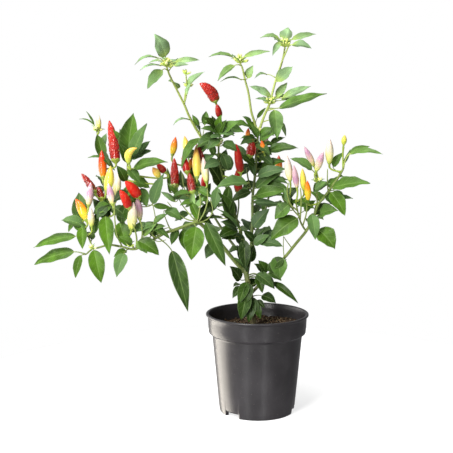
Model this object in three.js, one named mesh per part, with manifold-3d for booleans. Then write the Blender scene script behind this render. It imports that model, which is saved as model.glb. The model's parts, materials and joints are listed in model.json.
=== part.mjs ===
// An ornamental chilli pepper plant with multicoloured upright fruits, in a plain nursery pot.
// Millimetres, +Z up, +X right, -Y front. The origin is the middle of the pot's foot, on the ground.
import * as THREE from "three";
import { mergeVertices } from "three/addons/utils/BufferGeometryUtils.js";
import Module from "manifold-3d";

const wasm = await Module();
wasm.setup();

// ---- Driving dimensions ----
const GAP = 0.3; // clear space between two separate pieces

const LIP_RADIUS = 60; // a 12 cm nursery pot
const LIP_HEIGHT = 1.6;
const POT_HEIGHT = 116;
const COLLAR_TOP_RADIUS = 57.8;
const COLLAR_BOTTOM_RADIUS = 56.8;
const COLLAR_BOTTOM_Z = 94;
const BODY_TOP_RADIUS = 52.8;
const BODY_TOP_Z = 91;
const FOOT_RADIUS = 44.1;
const FOOT_ROUND = 1.6;
const FOOT_RING_WIDTH = 4;
const FLOOR_Z = 6;
const WALL = 1.3;
const POT_SIDES = 28;
const NOTCH_ANGLES = [-43, 77, 197]; // degrees, from the front towards the right
const NOTCH_DEPTH = 12;
const NOTCH_WIDTH = 20;
const NOTCH_HEIGHT = 5.5;

const SOIL_EDGE_Z = 99;
const SOIL_RISE = 3; // the soil is heaped up towards the right
const SOIL_SIDES = 18;
const SOIL_RINGS = [14, 28, 43];
const SOIL_CLEARANCE = 0.4; // between the soil and the pot's wall
const TRUNK_HOLE_RADIUS = 4.6;
const TRUNK_HOLE_DEPTH = 16;
const TRUNK_HOLE_SIDES = 12;

const BLADE_THICKNESS = 0.8;
const BLADE_FOLD = 0.24; // how far the edges rise above the midrib, as a share of the half width
const BLADE_WAVE = 0.05; // height of the wavy margin, as a share of the blade's width
const PETIOLE_RADIUS = 0.75;
const PEDICEL_RADIUS = 1.1;
const STEM_SIDES = 4;
const STALK_SIDES = 3;
const FRUIT_SIDES = 5;
const BUD_LENGTH = 5.5;
const BUD_RADIUS = 1.5;
const BUD_TIP_RADIUS = 0.4;
const BUD_STALK_RADIUS = 0.6;

// The layout below is a front elevation: each place is [x, z, depth], with x and z as seen from EYE on the
// upright plane through the pot's axis, and the depth behind that plane.
const EYE = new THREE.Vector3(-36, -1000, 335);

// ---- Layout of the plant ----
// stems: [base radius, tip radius, places...]
// leaves: [base x, z, depth, tip x, z, depth, width, roll in degrees, arch]
// fruits: [colour, tip x, z, depth, base x, z, depth, diameter, curve]
// buds: [x, z, depth, count, reach]
// sweep: how much deeper the branch gets for each millimetre away from where it leaves its parent
const BRANCHES = {
  trunk: {
    parent: null,
    sweep: 0,
    shade: "dark",
    stems: [
      [3.7, 2.4, [-4, 88, 0], [-5, 112, 0], [-7, 130, 0], [-10, 147, 0], [-13, 162, 0], [-17, 178, 2],
        [-19, 195, 3], [-20, 213, 4]],
    ],
    leaves: [
      [-20, 155, -6, -32, 171, -14, 15, 0, 2],
      [-19, 147, -4, -29, 133, -12, 10, 0, 2],
      [-12, 139, -7, -19, 107, -16, 16, 0, 3],
      [-5, 134, -6, 1, 110, -12, 8, 0, 2],
      [5, 136, -4, 22, 127, -10, 13, 0, 4],
      [0, 161, -6, 6, 139, -12, 11, 0, 2],
      [8, 160, -5, 20, 144, -10, 10, 0, 2],
      [9, 163, 2, -4, 174, -4, 11, 0, 2],
      [18, 152, 2, 48, 127, -12, 9, 10, 6],
      [-15, 184, -6, -19, 200, -10, 10, 0, 1],
      [-13, 169, -5, -12, 190, -10, 9, 0, 2],
      [-26, 206, -6, -42, 203, -14, 13, 0, 2],
      [-22, 192, 10, -34, 186, 22, 9, 0, 2],
      [-4, 150, 8, 12, 150, 30, 13, 0, 3],
      [-15, 147, 5, -28, 147, 30, 13, 0, 3],
    ],
    fruits: [],
    buds: [],
  },
  branch_left: {
    parent: "trunk",
    sweep: -0.3,
    shade: "mid",
    stems: [
      [2.9, 1.4, [-14, 163, 2], [-28, 179, 9], [-45, 200, 10], [-62, 217, 4], [-70, 222, 0], [-81, 219, -2],
        [-95, 214, -3], [-107, 210, -3], [-116, 205, -3], [-128, 198, -2], [-143, 191, 0], [-158, 194, 5]],
      [1.5, 1.0, [-143, 191, 0], [-150, 205, 8], [-155, 225, 11], [-152, 245, 12], [-150, 262, 10],
        [-150, 278, 8], [-149, 300, 4]],
    ],
    leaves: [
      [-60, 222, -10, -37, 171, -24, 16, 12, 4],
      [-71, 217, -8, -77, 178, -18, 24, 0, 3],
      [-86, 214, 4, -80, 187, 0, 16, 0, 2],
      [-99, 189, -10, -81, 117, -24, 19, 0, 5],
      [-138, 201, -8, -114, 184, -18, 17, 0, 3],
      [-130, 222, -5, -101, 203, -12, 10, 0, 3],
      [-107, 236, 4, -88, 224, -4, 13, 0, 5],
      [-120, 242, 4, -99, 239, -2, 7, 30, 2],
      [-121, 244, -4, -108, 279, -8, 14, 0, 2],
      [-155, 186, -8, -164, 158, -18, 15, 0, 3],
      [-152, 189, 4, -167, 182, -2, 9, 0, 2],
      [-160, 222, 6, -152, 194, 0, 18, 0, 3],
      [-50, 198, 18, -60, 180, 14, 14, 0, 2],
      [-149, 302, 4, -142, 348, 8, 22, 0, 2],
      [-144, 300, -4, -127, 336, -8, 15, 0, 2],
      [-141, 297, 6, -123, 316, 2, 12, 0, 2],
      [-143, 284, -4, -103, 292, -14, 14, 0, 5],
      [-143, 270, 8, -124, 262, 4, 14, 0, 2],
      [-134, 262, 6, -128, 240, 0, 12, 0, 2],
      [-153, 312, 10, -166, 329, 12, 8, 0, 1],
      [-120, 206, 12, -132, 220, 46, 17, 0, 3],
      [-148, 250, 20, -138, 270, 52, 17, 0, 3],
      [-72, 222, 14, -86, 206, 46, 18, 0, 3],
      [-150, 290, 14, -160, 306, 44, 16, 0, 3],
    ],
    fruits: [
      ["yellow", -138, 308, -18, -148, 291, -14, 8, -5],
      ["yellow", -121, 286, -2, -113, 275, 0, 8, 0],
      ["red", -153, 270, -10, -138, 253, -4, 12, 1],
      ["red", -159, 260, -16, -149, 240, -12, 10, 1],
      ["cream", -143, 246, -12, -146, 215, -8, 11, 0],
      ["mauve", -139, 252, -2, -136, 226, -1, 9, 0],
      ["dark_red", -116, 290, 2, -107, 281, 4, 8, 0],
    ],
    buds: [],
  },
  branch_far_left: {
    parent: "branch_left",
    sweep: 0.45,
    shade: "mid",
    stems: [
      [1.5, 1.1, [-158, 194, 5], [-172, 196, 7], [-184, 193, 5], [-192, 191, 0], [-199, 185, -2]],
      [1.3, 0.9, [-191, 191, 0], [-195, 203, -1], [-199, 213, 0], [-203, 222, 2]],
      [1.4, 0.9, [-172, 196, 7], [-172, 225, 11], [-175, 250, 10], [-177, 270, 9], [-180, 290, 8],
        [-182, 308, 6], [-184, 326, 4]],
    ],
    leaves: [
      [-211, 206, -3, -260, 193, -14, 14, 0, 4],
      [-213, 188, -6, -260, 173, -20, 17, 0, 4],
      [-205, 184, -6, -212, 157, -14, 10, 0, 3],
      [-190, 190, -8, -182, 151, -18, 18, 0, 3],
      [-203, 216, -4, -203, 191, -12, 12, 0, 2],
      [-202, 219, 0, -227, 225, -12, 15, 0, 3],
      [-203, 224, 12, -206, 257, 10, 20, 0, 2],
      [-210, 224, 6, -219, 211, 6, 7, 0, 2],
      [-190, 209, 4, -184, 236, 0, 11, 0, 2],
      [-170, 242, 2, -190, 232, -6, 16, 0, 2],
      [-176, 229, -6, -172, 185, -18, 17, 0, 3],
      [-180, 217, 4, -180, 200, -2, 7, 0, 1],
      [-178, 297, 4, -195, 297, -2, 6, 20, 1],
      [-181, 301, 8, -164, 282, 10, 8, 0, 2],
      [-181, 304, 6, -173, 325, 2, 10, 0, 1],
      [-187, 334, 4, -204, 341, 0, 3, 20, 3],
      [-187, 335, 6, -196, 350, 6, 3, 20, 1],
      [-176, 262, 14, -186, 276, 40, 14, 0, 3],
      [-192, 202, 8, -206, 210, 36, 14, 0, 3],
    ],
    fruits: [
      ["cream", -182, 346, 0, -182, 329, 2, 6.5, 0],
      ["red", -170, 340, -4, -163, 293, 0, 13, 1],
      ["orange", -179, 306, -6, -178, 274, -2, 10, 0],
      ["dark_red", -203, 279, -8, -188, 257, -4, 9, 1],
      ["dark_red", -184, 264, 4, -180, 249, 6, 9.5, 0],
      ["mauve", -192, 269, -16, -195, 242, -12, 9, 0],
      ["orange", -210, 250, -10, -198, 225, -6, 11, 1],
      ["cream", -193, 240, -14, -192, 218, -8, 8, 0],
      ["yellow", -169, 288, -10, -174, 258, -6, 11, 1],
      ["mauve", -172, 268, -22, -167, 243, -18, 8.5, 0],
      ["cream", -160, 281, -6, -163, 252, -4, 9, 0],
    ],
    buds: [[-184, 327, 4, 2, 9]],
  },
  branch_middle: {
    parent: "branch_left",
    sweep: 0.5,
    shade: "mid",
    stems: [
      [2.0, 1.5, [-70, 223, 0], [-74, 235, 0], [-75, 250, 0], [-74, 264, 3], [-70, 285, 8], [-66, 303, 8],
        [-64, 318, 4]],
      [1.3, 1.0, [-75, 250, 0], [-84, 254, -2], [-92, 257, -3], [-99, 263, -4]],
    ],
    leaves: [
      [-65, 319, -4, -88, 285, -16, 12, 15, 8],
      [-61, 334, 10, -59, 350, 12, 9, 0, 1],
      [-68, 332, 8, -75, 346, 8, 7, 0, 1],
      [-78, 256, -8, -99, 251, -16, 9, 10, 3],
      [-86, 262, 4, -89, 283, 8, 8, 0, 1],
      [-101, 256, -2, -104, 286, -6, 6, 20, 1],
      [-92, 252, -8, -104, 266, -12, 7, 20, 1],
      [-74, 246, -4, -90, 242, -10, 8, 0, 2],
      [-72, 250, 4, -55, 246, -2, 9, 0, 2],
      [-62, 224, 2, -67, 236, -2, 8, 0, 1],
      [-66, 300, 16, -54, 316, 44, 16, 0, 3],
      [-76, 256, 10, -98, 270, 40, 17, 0, 3],
      [-72, 272, 12, -58, 286, 42, 16, 0, 3],
    ],
    fruits: [
      ["orange", -94, 321, -6, -98, 300, -4, 8, 0],
      ["red", -96, 297, -10, -95, 264, -6, 10.5, 0],
      ["red", -86, 301, -14, -81, 280, -10, 9, 0],
      ["dark_red", -79, 280, -11, -75, 257, -7, 10, 0],
      ["yellow", -71, 311, -10, -70, 274, -6, 10, 0],
      ["dark_red", -71, 313, 0, -63, 292, 2, 6, 1],
      ["orange", -74, 299, 2, -79, 284, 4, 6, 0],
      ["cream", -63, 298, -8, -59, 269, -4, 9, 0],
    ],
    buds: [],
  },
  shoot_left: {
    parent: "branch_middle",
    sweep: -0.5,
    shade: "pale",
    stems: [
      [1.6, 1.0, [-64, 319, 4], [-72, 332, 2], [-79, 345, 0], [-84, 357, 0], [-92, 373, 0], [-100, 389, 0],
        [-104, 400, 0]],
      [1.0, 0.8, [-84, 357, 0], [-83, 368, 2], [-81, 377, 3]],
    ],
    leaves: [
      [-66, 325, -2, -71, 334, -8, 9, 0, 1],
      [-78, 340, -3, -97, 334, -10, 6, 30, 4],
      [-105, 411, 0, -117, 436, 4, 17, 0, 2],
      [-113, 409, -6, -140, 402, -16, 7, 25, 5],
      [-110, 401, -10, -134, 396, -22, 6, 25, 3],
      [-109, 396, -12, -126, 375, -22, 12, 0, 2],
      [-94, 405, 6, -66, 407, 10, 6, 25, 4],
      [-95, 401, -4, -79, 402, -12, 5, 20, 2],
      [-111, 407, 2, -124, 404, 6, 3, 0, 1],
      [-81, 379, -1, -61, 394, -8, 7, 25, 4],
      [-82, 368, -4, -76, 382, -8, 6, 0, 1],
      [-99, 398, 8, -92, 408, 36, 13, 0, 3],
      [-92, 375, 6, -102, 384, 30, 11, 0, 2],
    ],
    fruits: [],
    buds: [[-104, 400, 0, 4, 11], [-81, 377, 3, 1, 8]],
  },
  branch_inner: {
    parent: "trunk",
    sweep: -0.35,
    shade: "dark",
    stems: [
      [1.9, 1.2, [-20, 213, 4], [-28, 238, 12], [-37, 265, 14], [-44, 290, 9], [-45, 310, 3], [-43, 325, 0]],
      [1.2, 1.0, [-24, 226, 8], [-22, 240, 12], [-22, 250, 14]],
    ],
    leaves: [
      [-48, 326, -2, -66, 337, -8, 8, 20, 4],
      [-47, 328, 5, -53, 345, 8, 8, 0, 1],
      [-42, 321, -8, -57, 319, -14, 7, 0, 2],
      [-47, 314, 8, -62, 314, 6, 8, 0, 2],
      [-40, 320, 4, -26, 325, 2, 8, 0, 1],
      [-40, 314, 6, -26, 312, 4, 7, 0, 1],
      [-41, 265, 12, -58, 291, 8, 20, 0, 2],
      [-43, 280, 16, -36, 307, 18, 16, 0, 1],
      [-12, 267, -22, -49, 262, -34, 18, 10, 4],
      [-30, 230, -2, -45, 257, -8, 15, 0, 2],
      [-28, 228, 12, -37, 258, 20, 14, 0, 1],
      [-24, 215, -4, -43, 223, -10, 14, 0, 2],
      [-46, 229, 6, -58, 226, 4, 7, 20, 1],
      [-30, 238, 16, -46, 240, 48, 16, 0, 3],
    ],
    fruits: [
      ["red", -67, 381, -4, -49, 362, 0, 13, 3],
      ["dark_red", -47, 358, -2, -44, 344, 0, 7.5, 0],
      ["dark_red", -24, 284, 8, -22, 258, 12, 10, 0],
      ["dark_red", -25, 313, -8, -20, 281, -4, 9.5, 0],
    ],
    buds: [[-45, 310, 3, 2, 10]],
  },
  branch_centre: {
    parent: "trunk",
    sweep: 0.12,
    shade: "dark",
    stems: [
      [2.5, 1.6, [-12, 161, 4], [-9, 180, 7], [-7, 200, 7], [-6, 225, 5], [-6, 250, 3], [-4, 270, 2],
        [-2, 290, 0], [-1, 310, -2], [0, 324, -2]],
      [1.2, 1.0, [-6, 255, 3], [-11, 272, 0], [-13, 286, -3]],
    ],
    leaves: [
      [2, 199, -4, 30, 194, -14, 14, 0, 3],
      [-4, 201, -3, -17, 213, -9, 11, 0, 1],
      [-3, 204, 3, 9, 216, 0, 10, 0, 1],
      [6, 202, 10, 21, 214, 12, 11, 0, 1],
      [-5, 217, 3, 13, 238, -3, 18, 0, 1],
      [-4, 246, 0, 25, 243, -8, 9, 20, 2],
      [-2, 253, -12, 33, 258, -26, 16, 10, 5],
      [3, 262, -4, 38, 258, -16, 15, 0, 7],
      [0, 276, -8, 33, 284, -18, 14, 10, 4],
      [4, 284, 2, 32, 293, -6, 13, 0, 4],
      [12, 304, -6, 46, 308, -18, 12, 0, 3],
      [4, 325, -4, 19, 322, -10, 8, 0, 1],
      [5, 314, 4, 19, 311, 0, 8, 0, 1],
      [14, 312, 8, 31, 320, 8, 8, 0, 2],
      [-9, 331, -6, -37, 328, -18, 12, 10, 7],
      [-8, 336, 8, -18, 344, 8, 6, 0, 2],
      [-1, 342, 8, 9, 354, 8, 5, 10, 1],
      [-4, 321, 4, -20, 319, 2, 7, 0, 1],
      [-13, 296, 8, -27, 313, 10, 10, 0, 1],
      [-8, 290, -2, -4, 276, -6, 8, 0, 1],
      [-12, 262, 4, -28, 248, 0, 10, 0, 2],
      [-2, 232, 12, 10, 246, 42, 17, 0, 3],
      [-8, 212, 14, -18, 226, 44, 17, 0, 3],
      [0, 262, 12, 16, 270, 42, 17, 0, 3],
      [2, 302, 8, 14, 300, 40, 15, 0, 3],
    ],
    fruits: [
      ["red", -6, 318, -10, -9, 299, -6, 11, 0],
      ["orange", -11, 331, -6, -12, 319, -4, 5.5, 0],
      ["mauve", 12, 322, -8, 6, 316, -6, 6.5, 0],
      ["orange", 4, 317, -12, 7, 303, -9, 6.5, 0],
    ],
    buds: [[0, 324, -2, 2, 8]],
  },
  shoot_middle: {
    parent: "branch_centre",
    sweep: -0.35,
    shade: "pale",
    stems: [
      [1.5, 0.9, [-1, 326, -1], [-4, 337, 1], [-8, 350, 2], [-11, 370, 2], [-15, 385, 1], [-18, 398, 0],
        [-21, 404, 0]],
    ],
    leaves: [
      [-28, 410, 0, -56, 411, -4, 8, 20, 3],
      [-16, 411, -4, 13, 417, -14, 7, 10, 1],
      [-27, 401, -8, -46, 384, -18, 8, 0, 3],
      [-19, 385, -6, -43, 383, -14, 4, 20, 4],
      [-12, 387, 2, -6, 401, 4, 9, 0, 1],
      [-22, 404, 6, -30, 412, 32, 11, 0, 3],
    ],
    fruits: [],
    buds: [[-21, 404, 0, 3, 10]],
  },
  shoot_right: {
    parent: "branch_centre",
    sweep: 0.35,
    shade: "pale",
    stems: [
      [1.6, 1.0, [1, 326, -3], [4, 336, -2], [8, 347, -2], [13, 358, -2], [16, 370, -2], [20, 385, -1],
        [24, 396, 0], [28, 410, 0], [30, 422, 0]],
    ],
    leaves: [
      [24, 430, 0, 2, 432, -6, 8, 10, 3],
      [29, 429, 6, 34, 443, 14, 14, 0, 1],
      [24, 427, -8, 16, 412, -16, 7, 0, 2],
      [38, 430, 2, 65, 436, -4, 8, 10, 2],
      [38, 424, -6, 60, 420, -16, 11, 0, 4],
      [22, 383, -4, 39, 400, -8, 14, 0, 1],
      [10, 391, -2, -4, 387, -8, 6, 20, 3],
      [14, 366, -4, -10, 378, -10, 10, 0, 2],
      [12, 361, -8, -3, 364, -14, 6, 10, 1],
      [21, 365, 4, 33, 382, 8, 9, 0, 1],
      [28, 365, -2, 60, 378, -8, 9, 10, 2],
      [26, 362, 4, 43, 368, 6, 5, 10, 1],
      [24, 353, -8, 78, 370, -26, 13, 0, 3],
      [19, 351, -12, 22, 318, -22, 15, 0, 3],
      [26, 338, -4, 32, 321, -10, 5, 0, 1],
      [26, 424, 6, 18, 430, 32, 12, 0, 3],
      [16, 358, 8, 30, 366, 40, 15, 0, 3],
    ],
    fruits: [],
    buds: [[30, 422, 0, 4, 11], [13, 358, -2, 5, 10]],
  },
  branch_right: {
    parent: "trunk",
    sweep: -0.28,
    shade: "mid",
    stems: [
      [2.3, 1.5, [-8, 138, 6], [2, 149, 8], [15, 163, 7], [32, 182, 3], [44, 197, 0], [56, 212, -2],
        [64, 227, -1], [69, 242, 0], [76, 251, 0], [82, 259, 0], [91, 272, 0], [98, 284, 0]],
      [1.3, 1.0, [56, 212, -2], [50, 222, -3], [46, 236, -4], [44, 246, -3]],
      [1.0, 0.8, [48, 229, -3], [40, 238, -5], [35, 246, -6]],
      [1.1, 0.8, [69, 242, 0], [68, 256, 1], [70, 268, 0]],
    ],
    leaves: [
      [22, 182, 0, 27, 156, -8, 20, 0, 3],
      [12, 166, 2, 34, 179, 4, 13, 0, 2],
      [46, 227, -10, 15, 202, -24, 23, 0, 4],
      [36, 243, -8, 20, 226, -14, 17, 0, 2],
      [62, 283, 0, 37, 296, -2, 12, 0, 3],
      [50, 243, 2, 37, 247, -2, 8, 0, 1],
      [54, 236, 4, 67, 248, 2, 11, 0, 1],
      [86, 262, -5, 129, 268, -20, 18, 0, 3],
      [84, 257, -9, 101, 230, -20, 17, 0, 3],
      [88, 259, 2, 99, 241, -4, 12, 0, 2],
      [90, 251, 8, 110, 250, 4, 7, 0, 1],
      [71, 231, 3, 93, 236, -4, 18, 0, 3],
      [62, 232, -9, 67, 202, -18, 14, 0, 3],
      [70, 214, -5, 90, 191, -16, 23, 0, 3],
      [66, 260, -4, 79, 269, -10, 13, 0, 1],
      [86, 287, 8, 98, 303, 5, 10, 0, 1],
      [105, 302, 3, 128, 310, 6, 8, 20, 3],
      [106, 301, -4, 143, 301, -18, 9, 0, 5],
      [98, 290, 3, 106, 307, 8, 4, 30, 1],
      [60, 222, 8, 76, 226, 38, 17, 0, 3],
      [72, 246, 10, 62, 258, 40, 16, 0, 3],
      [84, 262, 8, 98, 276, 38, 16, 0, 3],
    ],
    fruits: [
      ["cream", 33, 300, -8, 37, 271, -6, 8.5, 0],
      ["mauve", 41, 289, -14, 45, 263, -10, 7, 0],
      ["yellow", 51, 285, -8, 53, 260, -5, 7, 0],
      ["orange", 57, 271, -12, 58, 248, -8, 7.5, 0],
      ["mauve", 53, 310, 2, 64, 288, 4, 7, 0],
      ["mauve", 75, 304, -6, 67, 282, -4, 8, 0],
      ["cream", 82, 319, -2, 82, 291, 0, 9, 0],
      ["yellow", 99, 323, 0, 98, 312, 1, 6, 0],
    ],
    buds: [[70, 268, 0, 2, 8]],
  },
  branch_back_left: {
    parent: "trunk",
    sweep: 0,
    shade: "dark",
    stems: [
      [2.2, 1.2, [-18, 184, 8], [-34, 204, 34], [-52, 232, 58], [-66, 258, 74], [-76, 284, 82]],
    ],
    leaves: [
      [-40, 214, 50, -56, 206, 78, 19, 0, 4],
      [-36, 210, 30, -20, 222, 62, 18, 0, 3],
      [-52, 236, 68, -40, 246, 98, 18, 0, 4],
      [-58, 240, 66, -84, 240, 86, 18, 0, 4],
      [-68, 258, 82, -70, 252, 112, 18, 0, 4],
      [-66, 262, 66, -88, 268, 74, 17, 0, 3],
      [-76, 284, 88, -64, 292, 112, 15, 0, 3],
    ],
    fruits: [
      ["red", -58, 286, 88, -62, 262, 86, 10, 0],
      ["yellow", -84, 322, 82, -80, 299, 80, 9, 0],
    ],
    buds: [],
  },
  branch_back_right: {
    parent: "trunk",
    sweep: 0,
    shade: "dark",
    stems: [
      [2.2, 1.2, [-8, 190, 12], [-2, 210, 36], [8, 234, 60], [14, 262, 76], [12, 290, 84]],
    ],
    leaves: [
      [0, 212, 50, 16, 204, 78, 19, 0, 4],
      [-6, 214, 44, -22, 210, 72, 17, 0, 3],
      [6, 236, 68, -8, 244, 98, 18, 0, 4],
      [12, 240, 66, 34, 236, 88, 18, 0, 4],
      [14, 262, 84, 10, 254, 114, 18, 0, 4],
      [16, 262, 72, 34, 272, 86, 17, 0, 3],
      [12, 288, 90, 0, 298, 114, 15, 0, 3],
    ],
    fruits: [
      ["orange", 24, 300, 74, 24, 278, 72, 9, 0],
      ["dark_red", -2, 316, 84, 2, 294, 84, 9.5, 0],
    ],
    buds: [],
  },
};

const SHADES = {
  dark: { color: "#3c661f", roughness: 0.5, metalness: 0 },
  mid: { color: "#5b8f3c", roughness: 0.5, metalness: 0 },
  pale: { color: "#a3bf5e", roughness: 0.5, metalness: 0 },
};
const FRUIT_COLOURS = {
  red: { color: "#c21a17", roughness: 0.25, metalness: 0 },
  dark_red: { color: "#7d1014", roughness: 0.25, metalness: 0 },
  orange: { color: "#f07a1c", roughness: 0.25, metalness: 0 },
  yellow: { color: "#ecd63c", roughness: 0.25, metalness: 0 },
  cream: { color: "#efe3b4", roughness: 0.3, metalness: 0 },
  mauve: { color: "#c79bb4", roughness: 0.3, metalness: 0 },
};
const POT_MATERIAL = { color: "#48464a", roughness: 0.4, metalness: 0 };
const SOIL_MATERIAL = { color: "#3a2a1c", roughness: 0.95, metalness: 0 };

// ---- Solids ----
function solidFromTriangles(positions, indices) {
  return new wasm.Manifold(
    new wasm.Mesh({
      numProp: 3,
      vertProperties: new Float32Array(positions.flatMap((p) => [p.x, p.y, p.z])),
      triVerts: new Uint32Array(indices),
    }),
  );
}

function solidFromGeometry(geometry) {
  geometry.deleteAttribute("normal");
  geometry.deleteAttribute("uv");
  const merged = mergeVertices(geometry, 1e-3);
  return new wasm.Manifold(
    new wasm.Mesh({
      numProp: 3,
      vertProperties: new Float32Array(merged.attributes.position.array),
      triVerts: new Uint32Array(merged.index.array),
    }),
  );
}

function geometryFromSolid(solid) {
  const mesh = solid.getMesh();
  const geometry = new THREE.BufferGeometry();
  geometry.setAttribute("position", new THREE.BufferAttribute(mesh.vertProperties, mesh.numProp));
  geometry.setIndex(new THREE.BufferAttribute(mesh.triVerts, 1));
  return geometry;
}

function largestBody(solid) {
  const bodies = solidFromGeometry(geometryFromSolid(solid)).decompose();
  return bodies.reduce((best, body) => (body.volume() > best.volume() ? body : best));
}

// ---- Places ----
// The point that is seen from EYE at x, z on the upright plane through the pot's axis, at this depth.
function place(x, z, depth) {
  const reach = (depth - EYE.y) / -EYE.y;
  return new THREE.Vector3(x, 0, z).sub(EYE).multiplyScalar(reach).add(EYE);
}

function sweptDepth(name, x, z) {
  const { parent, sweep, stems } = BRANCHES[name];
  const [startX, startZ] = stems[0][2];
  const start = parent ? sweptDepth(parent, startX, startZ) : 0;
  return start + sweep * Math.hypot(x - startX, z - startZ);
}

function placeOn(name, x, z, depth) {
  return place(x, z, depth + sweptDepth(name, x, z));
}

function directionAcross(axis, wanted) {
  return wanted.clone().addScaledVector(axis, -wanted.dot(axis)).normalize();
}

// ---- Tapered tubes: stems, leaf stalks, fruit stalks with their calyx, and buds ----
function taperedTube(points, radii, sides) {
  const positions = [];
  const indices = [];
  let across = null;
  points.forEach((point, ring) => {
    const before = points[Math.max(ring - 1, 0)];
    const after = points[Math.min(ring + 1, points.length - 1)];
    const along = after.clone().sub(before).normalize();
    const upright = Math.abs(along.z) > 0.9;
    const wanted = across ?? (upright ? new THREE.Vector3(1, 0, 0) : new THREE.Vector3(0, 0, 1));
    across = directionAcross(along, wanted);
    const other = along.clone().cross(across);
    for (let side = 0; side < sides; side += 1) {
      const turn = (2 * Math.PI * side) / sides;
      positions.push(
        point
          .clone()
          .addScaledVector(across, radii[ring] * Math.cos(turn))
          .addScaledVector(other, radii[ring] * Math.sin(turn)),
      );
    }
  });
  for (let ring = 0; ring < points.length - 1; ring += 1) {
    for (let side = 0; side < sides; side += 1) {
      const a = ring * sides + side;
      const b = ring * sides + ((side + 1) % sides);
      indices.push(a, b, b + sides, a, b + sides, a + sides);
    }
  }
  const last = (points.length - 1) * sides;
  for (let side = 1; side < sides - 1; side += 1) {
    indices.push(0, side + 1, side, last, last + side, last + side + 1);
  }
  return solidFromTriangles(positions, indices);
}

// ---- Leaves ----
const BLADE_STATIONS = { short: [0.4], medium: [0.26, 0.62], long: [0.16, 0.44, 0.76] };
const MEDIUM_BLADE = 22;
const LONG_BLADE = 48;
const FRONT_FACING = new THREE.Vector3(0, -0.75, 0.65);
const BACK_FACING = new THREE.Vector3(0, 0.5, 0.86);
const BACKWARD_LEAF = 12; // a leaf whose tip lies this much deeper than its base faces the back

// Half width of the blade along its length: broadest low down, drawn out to a fine tip.
const BASE_ROUNDNESS = 0.6;
const TIP_SHARPNESS = 0.95;
function bladeOutline(t) {
  const outline = (u) => u ** BASE_ROUNDNESS * (1 - u) ** TIP_SHARPNESS;
  return outline(t) / outline(BASE_ROUNDNESS / (BASE_ROUNDNESS + TIP_SHARPNESS));
}

function leafFrame(name, [bx, bz, bd, tx, tz, td, width, roll, arch]) {
  const base = placeOn(name, bx, bz, bd);
  const tip = placeOn(name, tx, tz, td);
  const axis = tip.clone().sub(base);
  const length = axis.length();
  axis.divideScalar(length);
  const facing = td - bd > BACKWARD_LEAF ? BACK_FACING : FRONT_FACING;
  const normal = directionAcross(axis, facing).applyAxisAngle(axis, THREE.MathUtils.degToRad(roll));
  const side = normal.clone().cross(axis);
  return { base, axis, length, normal, side, width, arch };
}

function midribPoint(leaf, t) {
  return leaf.base
    .clone()
    .addScaledVector(leaf.axis, leaf.length * t)
    .addScaledVector(leaf.normal, 4 * leaf.arch * t * (1 - t));
}

// A blade with its stalk, in one closed mesh. The blade is a sheet of even thickness: three points across at
// each station, two at its base and at the root of the stalk, and one at the tip.
function leafSolid(stems, leaf, extra) {
  const kind = leaf.length > LONG_BLADE ? "long" : leaf.length > MEDIUM_BLADE ? "medium" : "short";
  const stations = BLADE_STATIONS[kind];
  const narrow = leaf.side.clone().multiplyScalar(PETIOLE_RADIUS + extra);
  const root = rootOnStems(stems, leaf.base);
  const sheet = [root.clone().add(narrow), root.clone().sub(narrow)];
  sheet.push(leaf.base.clone().add(narrow), leaf.base.clone().sub(narrow));
  stations.forEach((t, index) => {
    const half = (leaf.width / 2) * bladeOutline(t) + extra;
    const wave = (index % 2 === 0 ? 1 : -1) * BLADE_WAVE * leaf.width;
    const rise = BLADE_FOLD * half;
    const middle = midribPoint(leaf, t);
    sheet.push(middle.clone().addScaledVector(leaf.side, half).addScaledVector(leaf.normal, rise + wave));
    sheet.push(middle);
    sheet.push(middle.clone().addScaledVector(leaf.side, -half).addScaledVector(leaf.normal, rise - wave));
  });
  const tip = sheet.length;
  sheet.push(midribPoint(leaf, 1).addScaledVector(leaf.axis, extra));
  const faces = [[0, 1, 3], [0, 3, 2], [2, 5, 4], [2, 3, 5], [3, 6, 5]];
  for (let left = 4; left < tip - 3; left += 3) {
    const [middle, right] = [left + 1, left + 2];
    faces.push([left, middle, middle + 3], [left, middle + 3, left + 3]);
    faces.push([middle, right, right + 3], [middle, right + 3, middle + 3]);
  }
  faces.push([tip - 3, tip - 2, tip], [tip - 2, tip - 1, tip]);
  const rightEdge = stations.map((_, row) => 3 * row + 6);
  const leftEdge = stations.map((_, row) => 3 * row + 4);
  const rim = [0, 1, 3, ...rightEdge, tip, ...leftEdge.reverse(), 2];
  const half = leaf.normal.clone().multiplyScalar(BLADE_THICKNESS / 2 + extra);
  const positions = [...sheet.map((p) => p.clone().add(half)), ...sheet.map((p) => p.clone().sub(half))];
  const count = sheet.length;
  const indices = faces.flatMap(([p, q, r]) => [p, q, r, p + count, r + count, q + count]);
  rim.forEach((from, step) => {
    const to = rim[(step + 1) % rim.length];
    indices.push(from, from + count, to + count, from, to + count, to);
  });
  return solidFromTriangles(positions, indices);
}

// Where on a branch's stems a leaf or fruit grows: near it, rather below it, and just inside the stem.
const RISE_PENALTY = 0.6;
const ROOT_INSET = 0.3; // distance of the root from the stem's middle, as a share of the stem's radius
const STEM_STEPS = 6;
function rootOnStems(stems, target) {
  const cost = (p) => p.distanceTo(target) + RISE_PENALTY * Math.max(0, p.z - target.z);
  let best = null;
  for (const { points, radii } of stems) {
    for (let step = 1; step < STEM_STEPS * points.length - STEM_STEPS; step += 1) {
      const index = Math.floor(step / STEM_STEPS);
      const share = step / STEM_STEPS - index;
      const point = points[index].clone().lerp(points[index + 1], share);
      const radius = THREE.MathUtils.lerp(radii[index], radii[index + 1], share);
      if (!best || cost(point) < cost(best.point)) best = { point, radius };
    }
  }
  const outward = target.clone().sub(best.point).normalize();
  return best.point.addScaledVector(outward, ROOT_INSET * best.radius);
}

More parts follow.
